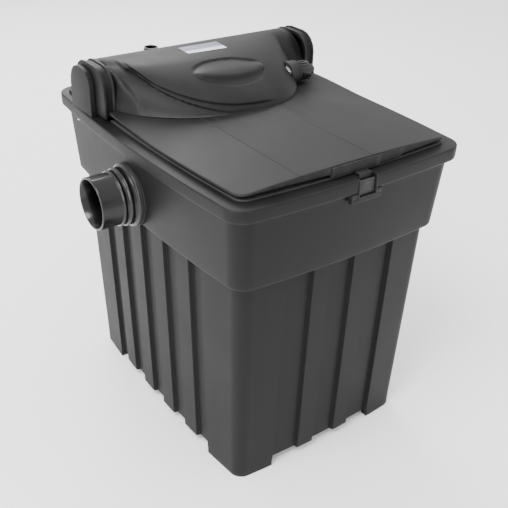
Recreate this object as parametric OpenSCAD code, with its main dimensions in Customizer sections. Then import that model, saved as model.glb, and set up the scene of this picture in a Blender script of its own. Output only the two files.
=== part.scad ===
// Box filter for a garden pond: ribbed tank, hinged lid with a lamp dome, outlet spigot, foams.
// Millimetres. +Z is up, +X right along the front, +Y to the back; z = 0 is the floor under the feet.

/* [Tank] */
// Width across the rim corners
tank_w = 380; // [340:1:420]
// Depth across the rim corners
tank_d = 498; // [460:1:540]
// Height of the rim's flat top
rim_z = 467; // [440:1:500]
// How far the side walls bow outward at the middle
bow_side = 10; // [0:1:16]
// How far the front and back walls bow outward
bow_front = 6; // [0:1:12]
// Height of the turned-down lip
lip_h = 19; // [12:1:28]
// Height of the collar's lower edge
collar_z = 344; // [320:1:380]
// Wall thickness of the moulding
wall = 4; // [3:0.5:6]
// Depth of the recesses between the ribs
recess = 6; // [3:0.5:9]
// Height of the tank's underside above the floor
foot_h = 12; // [8:1:20]
// Inset of the lower body at the floor
base_in = 34; // [26:1:42]

/* [Outlet] */
// Outside diameter of the outlet pipe
outlet_od = 75; // [50:1:90]
// Height of the outlet's centre line
outlet_z = 384; // [370:1:400]
// Distance of the outlet from the tank's middle, front to back
outlet_y = 13; // [-10:1:30]
// How far the outlet's mouth stands out from the rim corner line
outlet_out = 58; // [40:1:90]

/* [Inlet] */
// Outside diameter of the hose the tail takes
hose_d = 25; // [20:1:32]
// Sideways position of the hose tail
inlet_x = -46; // [-90:1:90]
// Position of the hose tail, front to back
inlet_y = 198; // [194:1:200]
// Height of the top of the hose tail
inlet_top = 524; // [500:1:560]

/* [Lid] */
// Gap between the rim's outer edge and the lid's edge
lid_in = 18; // [14:1:24]
// Height of the lid's edge
lid_top = 481; // [478:1:486]
// How much the lid rises toward its middle
crown = 5; // [0:1:8]
// Distance of the hinge axis behind the tank's middle
hinge_y = 139; // [130:1:145]
// Height of the hinge axis
hinge_z = 498; // [496:1:504]
// Height of the barrel above the hinge axis
barrel_h = 40; // [38:1:43]
// How far the dome reaches in front of the barrel
dome_reach = 113; // [90:1:125]

/* [Lamp] */
// Height of the lamp's centre line
lamp_z = 500; // [499:1:504]
// Position of the lamp, front to back
lamp_y = 39.5; // [39:0.5:44]
// Radius of the lamp's end cap
cap_r = 16; // [15.6:0.2:17]

/* [Latch] */
// Middle of the latch, left to right
latch_x = 6; // [0:1:12]

/* [Hidden] */
cx = (outlet_out - bow_side) / 2;   // moves the tank so the whole part is centred on x = 0
hw = tank_w / 2;
hd = tank_d / 2;
inner_z = foot_h + wall;
shell = 3;
hx_in = 169;                        // half length of the barrel between its end flanges
dome_r = 135;                       // half span of the dome on its right
ear_x0 = 187.6; ear_x1 = 195;
screw_x = 191.2;                    // bracket screws, in the lip's middle
latch_z = rim_z - 16.5;             // height of the latch's stem
side_cuts = [[-141, -111.5], [-80.5, -47.5], [-16.5, 16.5], [47.5, 80.5], [111.5, 141]];
front_cuts = [[-95, -48.5], [-21.5, 21.5], [48.5, 95]];

col_body = [0.13, 0.13, 0.135];
col_gloss = [0.03, 0.03, 0.032];
col_steel = [0.7, 0.7, 0.7];

// ---------- outlines ----------
function cut_pts(cuts) = [for (c = cuts) each [[c[0], 0], [c[0] + 3, 1], [c[1] - 3, 1], [c[1], 0]]];
function arc(x, y, r, a0) = [for (k = [0:6]) [x + r * cos(a0 + 15 * k), y + r * sin(a0 + 15 * k)]];
function neg(l) = [for (p = l) [-p[0], p[1]]];
// closed outline of the tank at one height: inset from the rim, corner radius, recess depth
function outline(ins, r, d = 0) =
  let (x = hw - ins, y = hd - ins, sx = x - r, sy = y - r,
       f = cut_pts(front_cuts), s = cut_pts(side_cuts))
  concat(
    [for (p = f) [p[0], -(y + bow_front * (1 - pow(p[0] / sx, 2))) + p[1] * d]],
    arc(sx, -sy, r, -90),
    [for (p = s) [x + bow_side * (1 - pow(p[0] / sy, 2)) - p[1] * d, p[0]]],
    arc(sx, sy, r, 0),
    [for (p = neg(f)) [p[0], y + bow_front * (1 - pow(p[0] / sx, 2)) - p[1] * d]],
    arc(-sx, sy, r, 90),
    [for (p = neg(s)) [-(x + bow_side * (1 - pow(p[0] / sy, 2))) + p[1] * d, p[0]]],
    arc(-sx, -sy, r, 180));

// solid through a list of closed rings, each [z, points]; first and last are flat caps
module skin(rings) {
  n = len(rings[0][1]);
  m = len(rings);
  pts = [for (g = rings) for (p = g[1]) [p[0], p[1], g[0]]];
  polyhedron(points = pts, convexity = 8, faces = concat(
    [[for (k = [0:n - 1]) k]],
    [for (j = [0:m - 2]) for (k = [0:n - 1]) each
      [[j * n + k, (j + 1) * n + k, (j + 1) * n + (k + 1) % n],
       [j * n + k, (j + 1) * n + (k + 1) % n, j * n + (k + 1) % n]]],
    [[for (k = [n - 1:-1:0]) (m - 1) * n + k]]));
}

module put() { translate([cx, 0, 0]) children(); }
module along_x(x0, x1, y, z, r, n = 64)
  translate([x0, y, z]) rotate([0, 90, 0]) cylinder(r = r, h = x1 - x0, $fn = n);
module along_y(y0, y1, x, z, r, n = 48)
  translate([x, y0, z]) rotate([-90, 0, 0]) cylinder(r = r, h = y1 - y0, $fn = n);
module box(x0, x1, y0, y1, z0, z1) translate([x0, y0, z0]) cube([x1 - x0, y1 - y0, z1 - z0]);
module tube(r1, r0, h, n = 64)
  difference() { cylinder(r = r1, h = h, $fn = n); translate([0, 0, -1]) cylinder(r = r0, h = h + 2, $fn = n); }

// ---------- tank ----------
module tank_shell() {
  skin([
    [foot_h, outline(60, 10)],
    [foot_h, outline(base_in + 2, 18, recess)],
    [foot_h + 3, outline(base_in, 20, recess)],
    [collar_z - 14, outline(26, 22, recess)],
    [collar_z - 5, outline(25, 22)],
    [collar_z, outline(25, 22)],
    [collar_z, outline(16, 26)],
    [collar_z + 4, outline(14.5, 27)],
    [rim_z - lip_h, outline(9, 28)],
    [rim_z - lip_h, outline(1.5, 29)],
    [rim_z - lip_h + 2, outline(0.4, 30)],
    [rim_z - 3, outline(0, 30)],
    [rim_z, outline(2.5, 29)],
    [rim_z, outline(30, 14)],
    [rim_z - wall, outline(30, 14)],
    [rim_z - wall - 4, outline(13, 24)],
    [collar_z + 4, outline(18.5, 23)],
    [collar_z - 5, outline(29, 18)],
    [collar_z - 14, outline(30, 18, recess)],
    [inner_z, outline(base_in + wall, 16, recess)],
    [inner_z, outline(64, 8)]]);
}

module tank() put() color(col_body) {
  difference() {
    union() {
      tank_shell();
      linear_extrude(foot_h + 0.5) difference() {
        polygon(outline(base_in + 0.5, 20));
        polygon(outline(base_in + 14, 10));
        square([190, 600], center = true);
        square([600, 282], center = true);
      }
      // flat pads inside and outside for the outlet
      along_x(-190, -178, outlet_y, outlet_z, 46, 96);
    }
    along_x(-215, -150, outlet_y, outlet_z, outlet_od / 2 + 1.2, 96);
    // notch in the lip and stem hole for the latch
    box(latch_x - 14, latch_x + 14, -270, -245.6, rim_z - lip_h - 1, rim_z + 5);
    along_y(-260, -225, latch_x, latch_z, 4.4);
    // screw holes for the hinge brackets
    for (s = [-1, 1]) for (y = [118, 160])
      translate([s * screw_x, y, rim_z - lip_h - 4]) cylinder(r = 2.1, h = 40, $fn = 24);
    // screw holes for the rear deck
    for (s = [-1, 1]) for (y = [226, 234])
      translate([s * (y == 226 ? 150 : 55), y, rim_z - 12]) cylinder(r = 1.9, h = 30, $fn = 24);
  }
}

// ---------- hinge ----------
ear_prof = [[-33, -30.7], [32, -30.7], [31, 4], [29, 14], [25, 23], [17, 31], [7, 35],
            [-11, 35], [-22, 31.5], [-29, 25], [-33, 15]];
module bracket(s) put() color(col_body) difference() {
  translate([s > 0 ? ear_x0 : -ear_x1, hinge_y, hinge_z]) rotate([90, 0, 90])
    linear_extrude(ear_x1 - ear_x0) polygon(ear_prof);
  along_x(s > 0 ? ear_x0 - 1 : -ear_x1 + 2, s > 0 ? ear_x1 - 2 : -ear_x0 + 1, hinge_y, hinge_z, 6);
  for (y = [118, 160]) translate([s * screw_x, y, rim_z - 5]) cylinder(r = 2, h = 22, $fn = 24);
}
module hinge_bracket_left() bracket(-1);
module hinge_bracket_right() bracket(1);
module bracket_screws() put() color(col_steel)
  for (s = [-1, 1]) for (y = [118, 160]) translate([s * screw_x, y, 0]) {
    translate([0, 0, rim_z - lip_h - 2.6]) cylinder(r = 3, h = 2.5, $fn = 32);
    translate([0, 0, rim_z - lip_h - 1]) cylinder(r = 1.9, h = 34, $fn = 24);
  }
module hinge_pins() put() color(col_steel) {
  along_x(-192.8, -171, hinge_y, hinge_z, 5.95, 48);
  along_x(171, 192.8, hinge_y, hinge_z, 5.95, 48);
}

// ---------- rear deck and inlet ----------
module rear_deck() put() color(col_body) difference() {
  union() {
    intersection() {
      linear_extrude(rim_z + 5) polygon(outline(lid_in - 6, 20));
      box(-200, 200, hinge_y + 33, 260, rim_z + 0.2, rim_z + 5);
    }
    translate([inlet_x, inlet_y, rim_z + 0.2]) cylinder(r = 18, h = 8, $fn = 64);
  }
  translate([inlet_x, inlet_y, rim_z - 5]) cylinder(r = hose_d / 2 + 0.2, h = 30, $fn = 64);
  for (s = [-1, 1]) for (y = [226, 234])
    translate([s * (y == 226 ? 150 : 55), y, rim_z - 5]) cylinder(r = 2.2, h = 30, $fn = 24);
}
module deck_screws() put() color(col_steel)
  for (s = [-1, 1]) for (y = [226, 234]) translate([s * (y == 226 ? 150 : 55), y, 0]) {
    difference() {
      translate([0, 0, rim_z + 5.1]) cylinder(r = 4, h = 2.6, $fn = 32);
      translate([-3, -0.5, rim_z + 6.6]) cube([6, 1, 2]);
      translate([-0.5, -3, rim_z + 6.6]) cube([1, 6, 2]);
    }
    translate([0, 0, rim_z - 8]) cylinder(r = 1.8, h = 13.2, $fn = 24);
  }
module hose_tail() put() color(col_gloss) translate([inlet_x, inlet_y, 0]) difference() {
  union() {
    translate([0, 0, rim_z - 18]) cylinder(r = hose_d / 2 - 0.1, h = 30, $fn = 64);
    translate([0, 0, rim_z + 10.6]) cylinder(r = 17, h = 4, $fn = 64);
    translate([0, 0, rim_z + 14]) cylinder(r = 11, h = inlet_top - rim_z - 14, $fn = 64);
    for (k = [0:3]) translate([0, 0, rim_z + 20 + 9 * k])
      cylinder(r1 = hose_d / 2 + 0.3, r2 = 11, h = 8, $fn = 64);
  }
  translate([0, 0, rim_z - 30]) cylinder(r = 9, h = 120, $fn = 64);
}
module hose_seal() put() color([0.05, 0.05, 0.05])
  translate([inlet_x, inlet_y, rim_z + 8.4]) tube(16.5, hose_d / 2 + 0.1, 2);
module hose_nut() put() color(col_gloss) translate([inlet_x, inlet_y, rim_z - 8]) difference() {
  union() {
    cylinder(r = 18, h = 8, $fn = 6);
    translate([0, 0, 5.5]) cylinder(r = 18.2, h = 2.5, $fn = 64);
  }
  translate([0, 0, -1]) cylinder(r = hose_d / 2 + 0.05, h = 12, $fn = 64);
}
module inlet_elbow() put() color(col_gloss) difference() {
  union() {
    translate([inlet_x, inlet_y, rim_z - 34]) cylinder(r = 15.5, h = 24, $fn = 64);
    along_y(inlet_y - 45, inlet_y, inlet_x, rim_z - 22, 11.5);
  }
  translate([inlet_x, inlet_y, rim_z - 31]) cylinder(r = hose_d / 2 + 0.1, h = 40, $fn = 64);
  along_y(inlet_y - 50, inlet_y, inlet_x, rim_z - 22, 8.5);
}
module spray_tray() put() color(col_body) difference() {
  box(-106, 132, -96, 168, 421, 433);
  box(-103, 129, -93, 165, 424, 440);
  for (i = [0:6]) for (j = [0:7])
    translate([-86 + 33 * i, -76 + 32 * j, 415]) cylinder(r = 4, h = 20, $fn = 20);
}

// ---------- outlet ----------
module outlet_spigot() put() color(col_gloss) difference() {
  r = outlet_od / 2;
  union() {
    along_x(-hw - outlet_out, -154, outlet_y, outlet_z, r, 96);
    along_x(-226, -196, outlet_y, outlet_z, r + 2.2, 96);
    along_x(-216, -196, outlet_y, outlet_z, r + 4.4, 96);
    along_x(-206, -196, outlet_y, outlet_z, r + 6.6, 96);
    along_x(-199, -194.4, outlet_y, outlet_z, r + 8, 96);
  }
  along_x(-260, -140, outlet_y, outlet_z, r - 3.2, 96);
}
module outlet_gasket() put() color([0.06, 0.06, 0.06]) difference() {
  along_x(-194.2, -190.2, outlet_y, outlet_z, outlet_od / 2 + 7, 96);
  along_x(-200, -185, outlet_y, outlet_z, outlet_od / 2 + 0.2, 96);
}
module outlet_nut() put() color(col_gloss) difference() {
  union() {
    along_x(-177.8, -166, outlet_y, outlet_z, outlet_od / 2 + 7, 96);
    for (k = [0:7]) translate([-177.8, outlet_y, outlet_z]) rotate([45 * k, 0, 0])
      translate([0, -4, outlet_od / 2 + 5]) cube([11.8, 8, 5]);
  }
  along_x(-190, -150, outlet_y, outlet_z, outlet_od / 2 + 0.08, 96);
}
module outlet_strainer() put() color(col_body) difference() {
  along_x(-164, -112, outlet_y, outlet_z, outlet_od / 2 + 4, 96);
  along_x(-170, -150, outlet_y, outlet_z, outlet_od / 2 + 0.08, 96);
  along_x(-150.5, -115, outlet_y, outlet_z, outlet_od / 2, 96);
  for (k = [0:11]) translate([-131.5, outlet_y, outlet_z]) rotate([30 * k, 0, 0])
    translate([-14.5, -3, outlet_od / 2 - 4]) cube([29, 6, 12]);
  for (k = [-3:3]) box(-117, -105, outlet_y + 9 * k - 2, outlet_y + 9 * k + 2,
    outlet_z - 22 + 2 * abs(k), outlet_z + 22 - 2 * abs(k));
}

// ---------- inside the tank ----------
module partition(y0) put() color(col_body) difference() {
  box(-140, 140, y0, y0 + 4, inner_z + 0.4, 420.7);
  for (k = [-5:5]) box(24 * k - 6, 24 * k + 6, y0 - 1, y0 + 5, inner_z + 28, inner_z + 90);
}
module partition_front() partition(-72);
module partition_rear() partition(92);
module media_grid() put() color(col_body) {
  for (c = [[-180, -73], [-67, 91], [97, 180]]) difference() {
    union() {
      box(-136, 136, c[0], c[1], 34, 39);
      for (x = [-128, 0, 120]) for (y = [c[0] + 4, c[1] - 12]) box(x, x + 8, y, y + 8, inner_z + 0.3, 36);
    }
    for (i = [0:7]) for (j = [0:floor((c[1] - c[0] - 30) / 26)])
      translate([-112 + 32 * i, c[0] + 18 + 26 * j, 25]) cylinder(r = 8, h = 20, $fn = 24);
  }
}
module foam_coarse() put() color([0.1, 0.25, 0.55]) {
  box(-134, 134, -178, -144, 39.4, 330);
  box(-134, 134, -143, -109, 39.4, 330);
}
module foam_fine() put() color([0.75, 0.75, 0.7]) box(-134, 134, -108, -74, 39.4, 330);
module foam_rear() put() color([0.12, 0.35, 0.2]) {
  box(-134, 134, 99, 137, 39.4, 330);
  box(-134, 134, 138, 176, 39.4, 330);
}
module bio_balls() put() color([0.05, 0.05, 0.06])
  for (i = [0:4]) for (j = [0:1])
    translate([-104 + 52 * i, -20 + 60 * j, 39.4 + 24.5]) difference() {
      sphere(r = 24, $fn = 32);
      cylinder(r = 5, h = 80, center = true, $fn = 24);
      rotate([90, 0, 0]) cylinder(r = 5, h = 80, center = true, $fn = 24);
      rotate([0, 90, 0]) cylinder(r = 5, h = 80, center = true, $fn = 24);
    }

// ---------- latch ----------
module latch_frame() put() color(col_body) difference() {
  box(latch_x - 25, latch_x + 25, -254.8, -246.5, 434.5, rim_z - lip_h - 0.3);
  box(latch_x - 13.7, latch_x + 13.7, -270, -240, 442.4, 460);
}
module latch_button() put() color([0.17, 0.17, 0.175]) {
  box(latch_x - 13, latch_x + 13, -252.6, -249.6, 443.2, 463.5);
  along_y(-250, -237.4, latch_x, latch_z, 3.9);
}
module latch_spring() put() color(col_steel) translate([latch_x, -247.8, latch_z]) rotate([-90, 0, 0])
  for (k = [0:1]) translate([0, 0, 0.5 + 0.94 * k])
    rotate_extrude($fn = 48) translate([5.6, 0]) circle(r = 0.45, $fn = 12);
module latch_clip() put() color(col_steel)
  translate([latch_x, -240.4, latch_z]) rotate([-90, 0, 0]) tube(7, 3.95, 1.6, 48);

// ---------- lid ----------
function lid_z(x) = lid_top + crown * (1 - pow(x / 172, 2));
groove_x = [-87, 28];
// one ring of the lid: z follows the crown less "down", or is the fixed height z
function lid_ring(ins, r, down, z = 0) = [for (p = outline(ins, r)) [p[0], p[1], z > 0 ? z : lid_z(p[0]) - down]];
// closed skin whose two caps follow the crown, so they are made of strips from front to back
module lid_skin(rings) {
  n = len(rings[0]);
  m = len(rings);
  h = n / 2;
  function mir(k) = (57 - k + 2 * n) % n;
  polyhedron(points = [for (g = rings) each g], convexity = 8, faces = concat(
    [for (c = [0:h - 2]) let (i = (75 + c) % n, j = (76 + c) % n) each
      j == mir(j) ? [[i, j, mir(i)]] : [[i, j, mir(j)], [i, mir(j), mir(i)]]],
    [for (j = [0:m - 2]) for (k = [0:n - 1]) each
      [[j * n + k, (j + 1) * n + k, (j + 1) * n + (k + 1) % n],
       [j * n + k, (j + 1) * n + (k + 1) % n, j * n + (k + 1) % n]]],
    [for (c = [0:h - 2]) let (i = (75 + c) % n, j = (76 + c) % n, o = (m - 1) * n) each
      [[o + i, o + mir(j), o + j], [o + i, o + mir(i), o + mir(j)]]]));
}

// front edge of the dome on the lid: y as a function of x
function dome_y(x) = let (s = min(1, abs(x) / (x < 0 ? hx_in : dome_r)))
  hinge_y - 59 - dome_reach * pow(1 - pow(s, 2.4), 0.75);
module lid_plate() put() color(col_body) difference() {
  lid_skin([lid_ring(80, 8, 3), lid_ring(lid_in + 3, 16, 3), lid_ring(lid_in + 3, 16, 0, rim_z + 5.4),
    lid_ring(lid_in + 9, 12, 0, rim_z + 5.4), lid_ring(lid_in + 9, 12, 0, rim_z + 3),
    lid_ring(lid_in, 18, 0, rim_z + 3), lid_ring(lid_in, 18, 1.5), lid_ring(lid_in + 1.2, 17, 0),
    lid_ring(80, 8, 0)]);
  for (g = groove_x) box(g - 0.8, g + 0.8, -300, 300, lid_z(g) - 1, 500);
  box(-300, 300, hinge_y + 4, 300, 400, 600);
  // stay clear of the end flanges
  for (s = [-1, 1]) translate([s * 189, 0, 0]) box(-20, 20, hinge_y - 61, 310, 410, 610);
  for (s = [-1, 1]) translate([s * 189, 0, 0]) box(-24, 24, hinge_y - 61, 311, 411, rim_z + 5.5);
  // the lamp shines down on the water through this window
  box(-84, 44, 12, 88, 400, 600);
  for (p = screw_at) translate([p[0], p[1], 400]) cylinder(r = 2, h = 200, $fn = 24);
}
screw_at = concat([for (x = [-118, -60, 0, 58, 98]) [x, dome_y(x) + 15]], [[-150, 118], [150, 118]]);
module lid_catch() put() color(col_body) {
  box(latch_x - 10, latch_x + 10, -247.6, -237.4, rim_z + 1, rim_z + 4);
  box(latch_x - 10, latch_x + 10, -247.6, -246, rim_z - 7, rim_z + 4);
  box(latch_x - 10, latch_x + 10, -238.8, -237.4, rim_z + 3.5, rim_z + 11);
}
module lid_seal() put() color([0.07, 0.07, 0.07]) translate([0, 0, rim_z + 0.3]) linear_extrude(2.5)
  difference() {
    polygon(outline(lid_in + 1, 16));
    polygon(outline(lid_in + 8, 13));
    translate([-300, hinge_y - 62]) square([600, 300]);
  }

// ---------- hump ----------
rear = [[0, 43], [8, 42], [15, 38.5], [21, 33], [25.5, 24], [28, 12], [29, 0], [27.6, -9], [24, -16.5],
        [17, -23], [9, -27.4]];
function bump(x, t) = let (q = 1 - pow((x + 6) / 58, 2) - pow((t - 0.39) / 0.19, 2))
  q > 0 ? 3.4 * pow(q, 0.5) : 0;
// point on the hump's outer face; t runs 0..1 from its front edge to the crest
function hump_pt(x, t) = let (y0 = dome_y(x), z0 = lid_z(x) + 0.3, y1 = hinge_y,
    e = 1.9 + 0.5 * abs(x) / hx_in, h = hinge_z + barrel_h - z0)
  [y0 + (y1 - y0) * t, z0 + h * pow(1 - pow(1 - t, e), 0.72) + bump(x, t)];
t_at = [0, 0.012, 0.05, 0.12, 0.2, 0.3, 0.4, 0.5, 0.6, 0.7, 0.76, 0.8, 0.85, 0.9, 0.94];
function hump_out(x) = concat([for (t = t_at) hump_pt(x, t)],
  [for (p = rear) [hinge_y + p[0], hinge_z + p[1] * (p[1] > 0 ? barrel_h / 43 : 1)]]);
function unit(v) = v / norm(v);
function normals(p) = [for (k = [0:len(p) - 1]) let (a = p[max(0, k - 1)], b = p[min(len(p) - 1, k + 1)],
  d = unit(b - a)) [d[1], -d[0]]];
function inner(p, w) = let (n = normals(p)) [for (k = [0:len(p) - 1])
  k == 0 ? [p[0][0] + w, p[0][1]] : [p[k][0] + n[k][0] * w, max(p[0][1], p[k][1] + n[k][1] * w, k > 21 ? 0 : 0)]];
// lofted shell: outer and inner profile at each x
module loft(xs, outs, ins) {
  n = len(outs[0]);
  m = len(xs);
  pts = [for (j = [0:m - 1]) each concat([for (p = outs[j]) [xs[j], p[0], p[1]]],
                                         [for (k = [n - 1:-1:0]) [xs[j], ins[j][k][0], ins[j][k][1]]])];
  q = 2 * n;
  polyhedron(points = pts, convexity = 8, faces = concat(
    [for (k = [0:n - 2]) each [[k, q - 1 - k, q - 2 - k], [k, q - 2 - k, k + 1]]],
    [for (j = [0:m - 2]) for (k = [0:q - 1]) let (a = j * q + k, b = j * q + (k + 1) % q) each
      [[a, b, b + q], [a, b + q, a + q]]],
    [for (k = [0:n - 2]) let (o = (m - 1) * q) each
      [[o + k, o + k + 1, o + q - 2 - k], [o + k, o + q - 2 - k, o + q - 1 - k]]]));
}
hump_x = [-168.7, -160, -148, -132, -115, -95, -72, -52, -38, -22, -6, 12, 30, 46, 66, 84, 100, 114, 124, 131, 134.9,
          140, 168.7];
module hump_cover() put() color(col_body) difference() {
  union() {
    loft(hump_x, [for (x = hump_x) hump_out(x)], [for (x = hump_x) inner(hump_out(x), shell)]);
    difference() {
      along_x(100, 118, lamp_y, lamp_z, 18, 64);
      box(90, 130, 0, 90, 460, lid_z(100) + 0.6);
    }
    for (p = screw_at) translate([p[0], p[1], lid_z(p[0]) + 0.6])
      cylinder(r = 4.5, h = p[0] == -150 ? 53 : p[0] == 150 ? 48.5 : p[0] == -118 ? 14 : 8, $fn = 32);
  }
  along_x(90, 160, lamp_y, lamp_z, 14.2, 64);
  along_x(118, 160, lamp_y, lamp_z, 16.8, 64);
  for (p = screw_at) translate([p[0], p[1], lid_z(p[0]) - 2]) cylinder(r = 1.75, h = 9, $fn = 24);
}

flange_prof = [[-60, -27], [9, -27], [17, -22.5], [24, -15], [28, -6], [29, 4], [28, 14], [25.5, 25], [20, 34],
               [11, 39.7], [0, 41.8], [-30, 41.8], [-41, 39.5], [-50, 34], [-57, 25], [-60, 15]];
function shrink(p, w) = let (n = len(p)) [for (k = [0:n - 1])
  let (d = unit(p[(k + 1) % n] - p[(k + n - 1) % n])) [p[k][0] - d[1] * w, p[k][1] + d[0] * w]];
module flange_x(p, x0, x1) translate([x0, hinge_y, hinge_z]) rotate([90, 0, 90]) linear_extrude(x1 - x0) polygon(p);
module end_flange(s) put() color(col_body) mirror([s > 0 ? 1 : 0, 0, 0]) difference() {
  union() {
    flange_x(shrink(flange_prof, 2.2), -186.4, -169.2);
    flange_x(flange_prof, -186.4, -182.8);
    flange_x(flange_prof, -172.8, -169.2);
  }
  difference() {
    flange_x(shrink(flange_prof, 5.5), -182.6, -160);
    along_x(-190, -165, hinge_y, hinge_z, 12);
  }
  along_x(-200, -165, hinge_y, hinge_z, 8.05);
}
module end_flange_left() end_flange(-1);
module end_flange_right() end_flange(1);
module hinge_bushes() put() color([0.85, 0.85, 0.8]) for (s = [-1, 1]) mirror([s > 0 ? 1 : 0, 0, 0])
  difference() {
    along_x(-186.2, -169.4, hinge_y, hinge_z, 8, 48);
    along_x(-200, -165, hinge_y, hinge_z, 6.02, 48);
  }
module lid_screws() put() color(col_steel) for (p = screw_at) translate([p[0], p[1], 0]) {
  translate([0, 0, lid_z(p[0]) - 6.1]) cylinder(r = 3.8, h = 2.6, $fn = 32);
  translate([0, 0, lid_z(p[0]) - 4]) cylinder(r = 1.7, h = 10, $fn = 24);
}
label_x = [-38, -22, -6, 12, 30];
function label_line(x, off) = let (l = [for (t = [0.76, 0.8, 0.85, 0.9, 0.94]) hump_pt(x, t)],
  n = normals(l)) [for (k = [0:len(l) - 1]) l[k] - n[k] * off];
module label_plate() put() color([0.8, 0.8, 0.86])
  loft(label_x, [for (x = label_x) label_line(x, 1)], [for (x = label_x) label_line(x, 0.35)]);

// ---------- lamp ----------
module ballast_case() put() color([0.2, 0.2, 0.2]) difference() {
  box(-118, -18, 100, 152, 487.2, 526);
  box(-115, -21, 103, 149, 490, 523);
}
module sleeve_saddles() put() color(col_body) for (x = [-99, 52]) difference() {
  union() {
    box(x, x + 8, lamp_y - 16, lamp_y + 16, 486.4, lamp_z);
    box(x - 5, x + 13, lamp_y - 24, lamp_y + 24, 486.2, 487.7);
  }
  along_x(x - 1, x + 9, lamp_y, lamp_z, 12.6);
}
module quartz_sleeve() put() color([0.8, 0.9, 0.95, 0.4]) difference() {
  union() {
    along_x(-98, 106, lamp_y, lamp_z, 12);
    translate([-98, lamp_y, lamp_z]) sphere(r = 12, $fn = 64);
  }
  along_x(-98, 114, lamp_y, lamp_z, 10.6);
  translate([-98, lamp_y, lamp_z]) sphere(r = 10.6, $fn = 64);
}
module sleeve_seal() put() color([0.05, 0.05, 0.05]) difference() {
  along_x(101, 105.5, lamp_y, lamp_z, 13.9);
  along_x(95, 115, lamp_y, lamp_z, 12.05);
}
module uv_lamp() put() color([0.9, 0.92, 0.95]) {
  for (s = [-1, 1]) along_x(-88, 86, lamp_y, lamp_z + s * 5.2, 4.4, 32);
  translate([-88, lamp_y, lamp_z]) for (s = [-1, 1]) translate([0, 0, s * 5.2]) sphere(r = 4.4, $fn = 32);
  along_x(-82, -76, lamp_y, lamp_z, 3.2, 24);
  along_x(82, 96, lamp_y, lamp_z, 10, 48);
}
module lamp_socket() put() color([0.85, 0.85, 0.82]) difference() {
  along_x(96.3, 110, lamp_y, lamp_z, 10.2, 48);
  for (s = [-1, 1]) along_x(94, 104, lamp_y, lamp_z + s * 5.5, 1.4, 24);
}
module lamp_cap() put() color(col_gloss) difference() {
  union() {
    along_x(106.6, 130, lamp_y, lamp_z, 14.1, 64);
    along_x(120.7, 138, lamp_y, lamp_z, cap_r - 1, 64);
    for (k = [0:17]) translate([122, lamp_y, lamp_z]) rotate([20 * k, 0, 0])
      translate([0, -1.4, cap_r - 2]) cube([14, 2.8, 2]);
  }
  along_x(94, 128, lamp_y, lamp_z, 12.1);
  along_x(124, 150, lamp_y, lamp_z, 5.1);
}
module cap_seal() put() color([0.05, 0.05, 0.05]) difference() {
  along_x(118.2, 120.5, lamp_y, lamp_z, 15.9, 64);
  along_x(100, 140, lamp_y, lamp_z, 14.15, 64);
}
module cable_gland() put() color(col_gloss) difference() {
  union() {
    along_x(125, 144, lamp_y, lamp_z, 5, 40);
    along_x(138.2, 141, lamp_y, lamp_z, 8.4, 6);
  }
  along_x(114, 160, lamp_y, lamp_z, 3.3, 32);
}
module gland_nut() put() color(col_gloss) difference() {
  along_x(141.2, 150, lamp_y, lamp_z, 8.4, 6);
  along_x(141, 147.5, lamp_y, lamp_z, 5.06, 40);
  along_x(141, 160, lamp_y, lamp_z, 3.4, 32);
}

tank();
hinge_bracket_left();
hinge_bracket_right();
bracket_screws();
hinge_pins();
rear_deck();
deck_screws();
hose_tail();
hose_nut();
hose_seal();
inlet_elbow();
spray_tray();
outlet_spigot();
outlet_gasket();
outlet_nut();
outlet_strainer();
partition_front();
partition_rear();
media_grid();
foam_coarse();
foam_fine();
foam_rear();
bio_balls();
latch_frame();
latch_button();
latch_spring();
latch_clip();
lid_plate();
lid_catch();
lid_seal();
hump_cover();
end_flange_left();
end_flange_right();
hinge_bushes();
lid_screws();
label_plate();
ballast_case();
sleeve_saddles();
quartz_sleeve();
sleeve_seal();
uv_lamp();
lamp_socket();
lamp_cap();
cap_seal();
cable_gland();
gland_nut();
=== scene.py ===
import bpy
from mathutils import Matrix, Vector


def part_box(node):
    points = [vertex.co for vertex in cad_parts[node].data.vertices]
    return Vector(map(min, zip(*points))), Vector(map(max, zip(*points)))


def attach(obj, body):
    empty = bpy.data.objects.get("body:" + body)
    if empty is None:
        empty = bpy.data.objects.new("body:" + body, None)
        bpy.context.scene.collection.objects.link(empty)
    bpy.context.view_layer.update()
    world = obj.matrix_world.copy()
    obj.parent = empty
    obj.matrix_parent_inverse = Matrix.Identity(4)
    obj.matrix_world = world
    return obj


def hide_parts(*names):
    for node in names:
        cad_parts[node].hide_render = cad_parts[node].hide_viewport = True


bl_info = {
    "name": "Pond Filter Box",
    "version": (1, 0, 0),
    "blender": (4, 5, 0),
    "location": "View3D > Sidebar > Pond Filter",
    "description": "Builds a ribbed pond filter box with a hinged lid, a lamp dome and its inner parts",
    "category": "Object",
}

import math

import bmesh
import bpy
from mathutils import Matrix, Vector, noise

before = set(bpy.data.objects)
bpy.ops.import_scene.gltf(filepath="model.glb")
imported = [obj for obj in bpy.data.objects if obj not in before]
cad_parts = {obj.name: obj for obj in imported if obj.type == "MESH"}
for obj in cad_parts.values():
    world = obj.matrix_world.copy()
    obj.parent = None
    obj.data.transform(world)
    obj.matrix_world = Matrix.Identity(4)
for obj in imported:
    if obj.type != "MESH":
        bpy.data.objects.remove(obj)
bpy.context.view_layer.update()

MM = 0.001
TANK_LO, TANK_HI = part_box("tank")
CX = (TANK_LO.x + TANK_HI.x) / 2            # middle of the tank, left to right
HALF_W, HALF_D = 190.0, 249.0               # rim corner lines, in millimetres from the tank's middle
RIM_Z = TANK_HI.z / MM
BOW_SIDE, BOW_FRONT = 10.0, 6.0
LIP_H, COLLAR_Z, WALL, FOOT_H, BASE_IN = 19.0, 344.0, 4.0, 12.0, 34.0
RIB_EDGE = 2.4                              # width of the eased edge of each rib
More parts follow.
